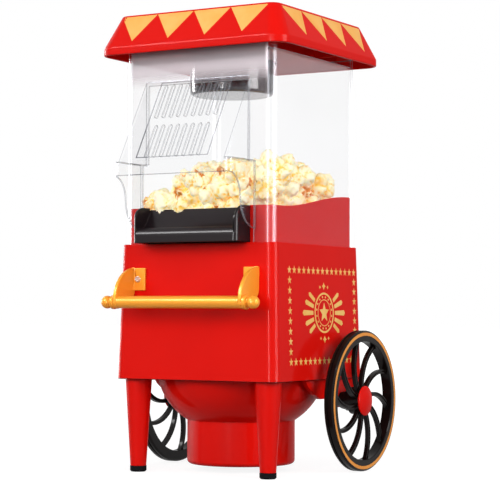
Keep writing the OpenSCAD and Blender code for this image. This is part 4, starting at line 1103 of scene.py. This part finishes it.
# %% [markdown]
# ## Floor, backdrop and lamps
#
# The object stands on a seamless white sheet. The sheet and the world show a plain white
# to the camera, to mirrors and through glass, and only part of the sheet's brightness
# comes from the lamps, so a soft shadow stays. Broad soft boxes give the even light. The
# bright lines on corners, legs and rims come from tall narrow boxes that are only mirrored,
# so that they can be strong without flattening the colours.


# %% Stage
def either(finish, rays, *kinds):
    """1 where a ray is of one of these kinds."""
    total = Wire(finish, rays.outputs[kinds[0]])
    for kind in kinds[1:]:
        total = total + Wire(finish, rays.outputs[kind])
    return total.clamp()


def make_floor(near=0.74, reach=14.0):
    finish = Finish("white_sheet")
    finish.set(Base_Color=(0.12, 0.12, 0.12), Roughness=0.95, Specular_IOR_Level=0.1)
    rays = finish.tree.nodes.new("ShaderNodeLightPath")
    shown = either(finish, rays, "Is Camera Ray", "Is Glossy Ray", "Is Transmission Ray")
    length = {"operation": "LENGTH"}
    away = finish.node("ShaderNodeVectorMath", length, {0: finish.place}, output=1)
    share = near + (1 - near) * away.step(0.5, 2.2)
    white = finish.node("ShaderNodeBsdfDiffuse", {}, {"Color": (0.86, 0.86, 0.86)})
    glow = finish.node("ShaderNodeEmission", {}, {"Color": (1, 1, 1), "Strength": 1.19})
    sheet = finish.node("ShaderNodeMixShader", {}, {0: share, 1: white, 2: glow})
    surface = Wire(finish, finish.surface.outputs[0])
    both = finish.node("ShaderNodeMixShader", {}, {0: shown, 1: surface, 2: sheet})
    finish.tree.links.new(both.socket, finish.output.inputs["Surface"])
    mesh = bpy.data.meshes.new("studio_floor")
    shape = bmesh.new()
    bmesh.ops.create_grid(shape, x_segments=2, y_segments=2, size=reach)
    shape.to_mesh(mesh)
    shape.free()
    floor = bpy.data.objects.new("studio_floor", mesh)
    bpy.context.scene.collection.objects.link(floor)
    dress(floor, finish)


def make_world(fill=0.28):
    world = bpy.data.worlds.new("studio_world")
    world.use_nodes = True
    bpy.context.scene.world = world
    tree = world.node_tree
    tree.nodes.clear()
    rays = tree.nodes.new("ShaderNodeLightPath")
    total = rays.outputs["Is Camera Ray"]
    for kind in ("Is Glossy Ray", "Is Transmission Ray"):
        either_kind = tree.nodes.new("ShaderNodeMath")
        either_kind.operation = "MAXIMUM"
        tree.links.new(total, either_kind.inputs[0])
        tree.links.new(rays.outputs[kind], either_kind.inputs[1])
        total = either_kind.outputs[0]
    mix = tree.nodes.new("ShaderNodeMixShader")
    tree.links.new(total, mix.inputs[0])
    for spot, strength in ((1, fill), (2, 1.0)):
        light = tree.nodes.new("ShaderNodeBackground")
        light.inputs["Color"].default_value = (1, 1, 1, 1)
        light.inputs["Strength"].default_value = strength
        tree.links.new(light.outputs[0], mix.inputs[spot])
    output = tree.nodes.new("ShaderNodeOutputWorld")
    tree.links.new(mix.outputs[0], output.inputs["Surface"])


def soft_box(name, spot, aim, width, height, glow, only=None):
    """A rectangular lamp of a given brightness, whatever its size.

    With only="diffuse" it lights but isn't mirrored, and with only="glossy" the reverse.
    """
    lamp = bpy.data.objects.new(name, bpy.data.lights.new(name, "AREA"))
    bpy.context.scene.collection.objects.link(lamp)
    lamp.data.shape = "RECTANGLE"
    lamp.data.size = width
    lamp.data.size_y = height
    lamp.data.energy = glow * math.pi * width * height
    lamp.location = spot
    lamp.rotation_mode = "QUATERNION"
    lamp.rotation_quaternion = (Vector(aim) - Vector(spot)).to_track_quat("-Z", "Y")
    lamp.visible_glossy = only != "diffuse"
    lamp.visible_diffuse = only != "glossy"
    print(name, "gives", round(lamp.data.energy, 1), "W")


make_floor()
make_world()
middle = (0.0, 0.0, 0.2)
soft_box("key_box", (0.25, -1.75, 0.75), middle, 1.3, 0.9, 4.5)
soft_box("left_key", (-1.0, -1.2, 0.75), middle, 0.8, 0.8, 3.4, only="diffuse")
soft_box("right_key", (1.55, -0.4, 0.75), middle, 0.9, 1.0, 5.5, only="diffuse")
soft_box("sheen_box", (-0.85, -1.37, 1.22), middle, 0.8, 0.5, 30.0, only="glossy")
soft_box("corner_box", (1.57, 0.02, 0.45), middle, 0.8, 1.3, 14.0, only="glossy")
soft_box("front_strip", (0.12, -1.6, 0.28), middle, 0.2, 0.56, 40.0, only="glossy")
soft_box("back_box", (-0.4, 1.7, 0.9), middle, 1.2, 0.9, 2.6, only="diffuse")
soft_box("left_strip", (-1.4, 0.25, 0.45), middle, 0.3, 1.1, 28.0, only="glossy")
bpy.context.scene.view_settings.view_transform = "Standard"
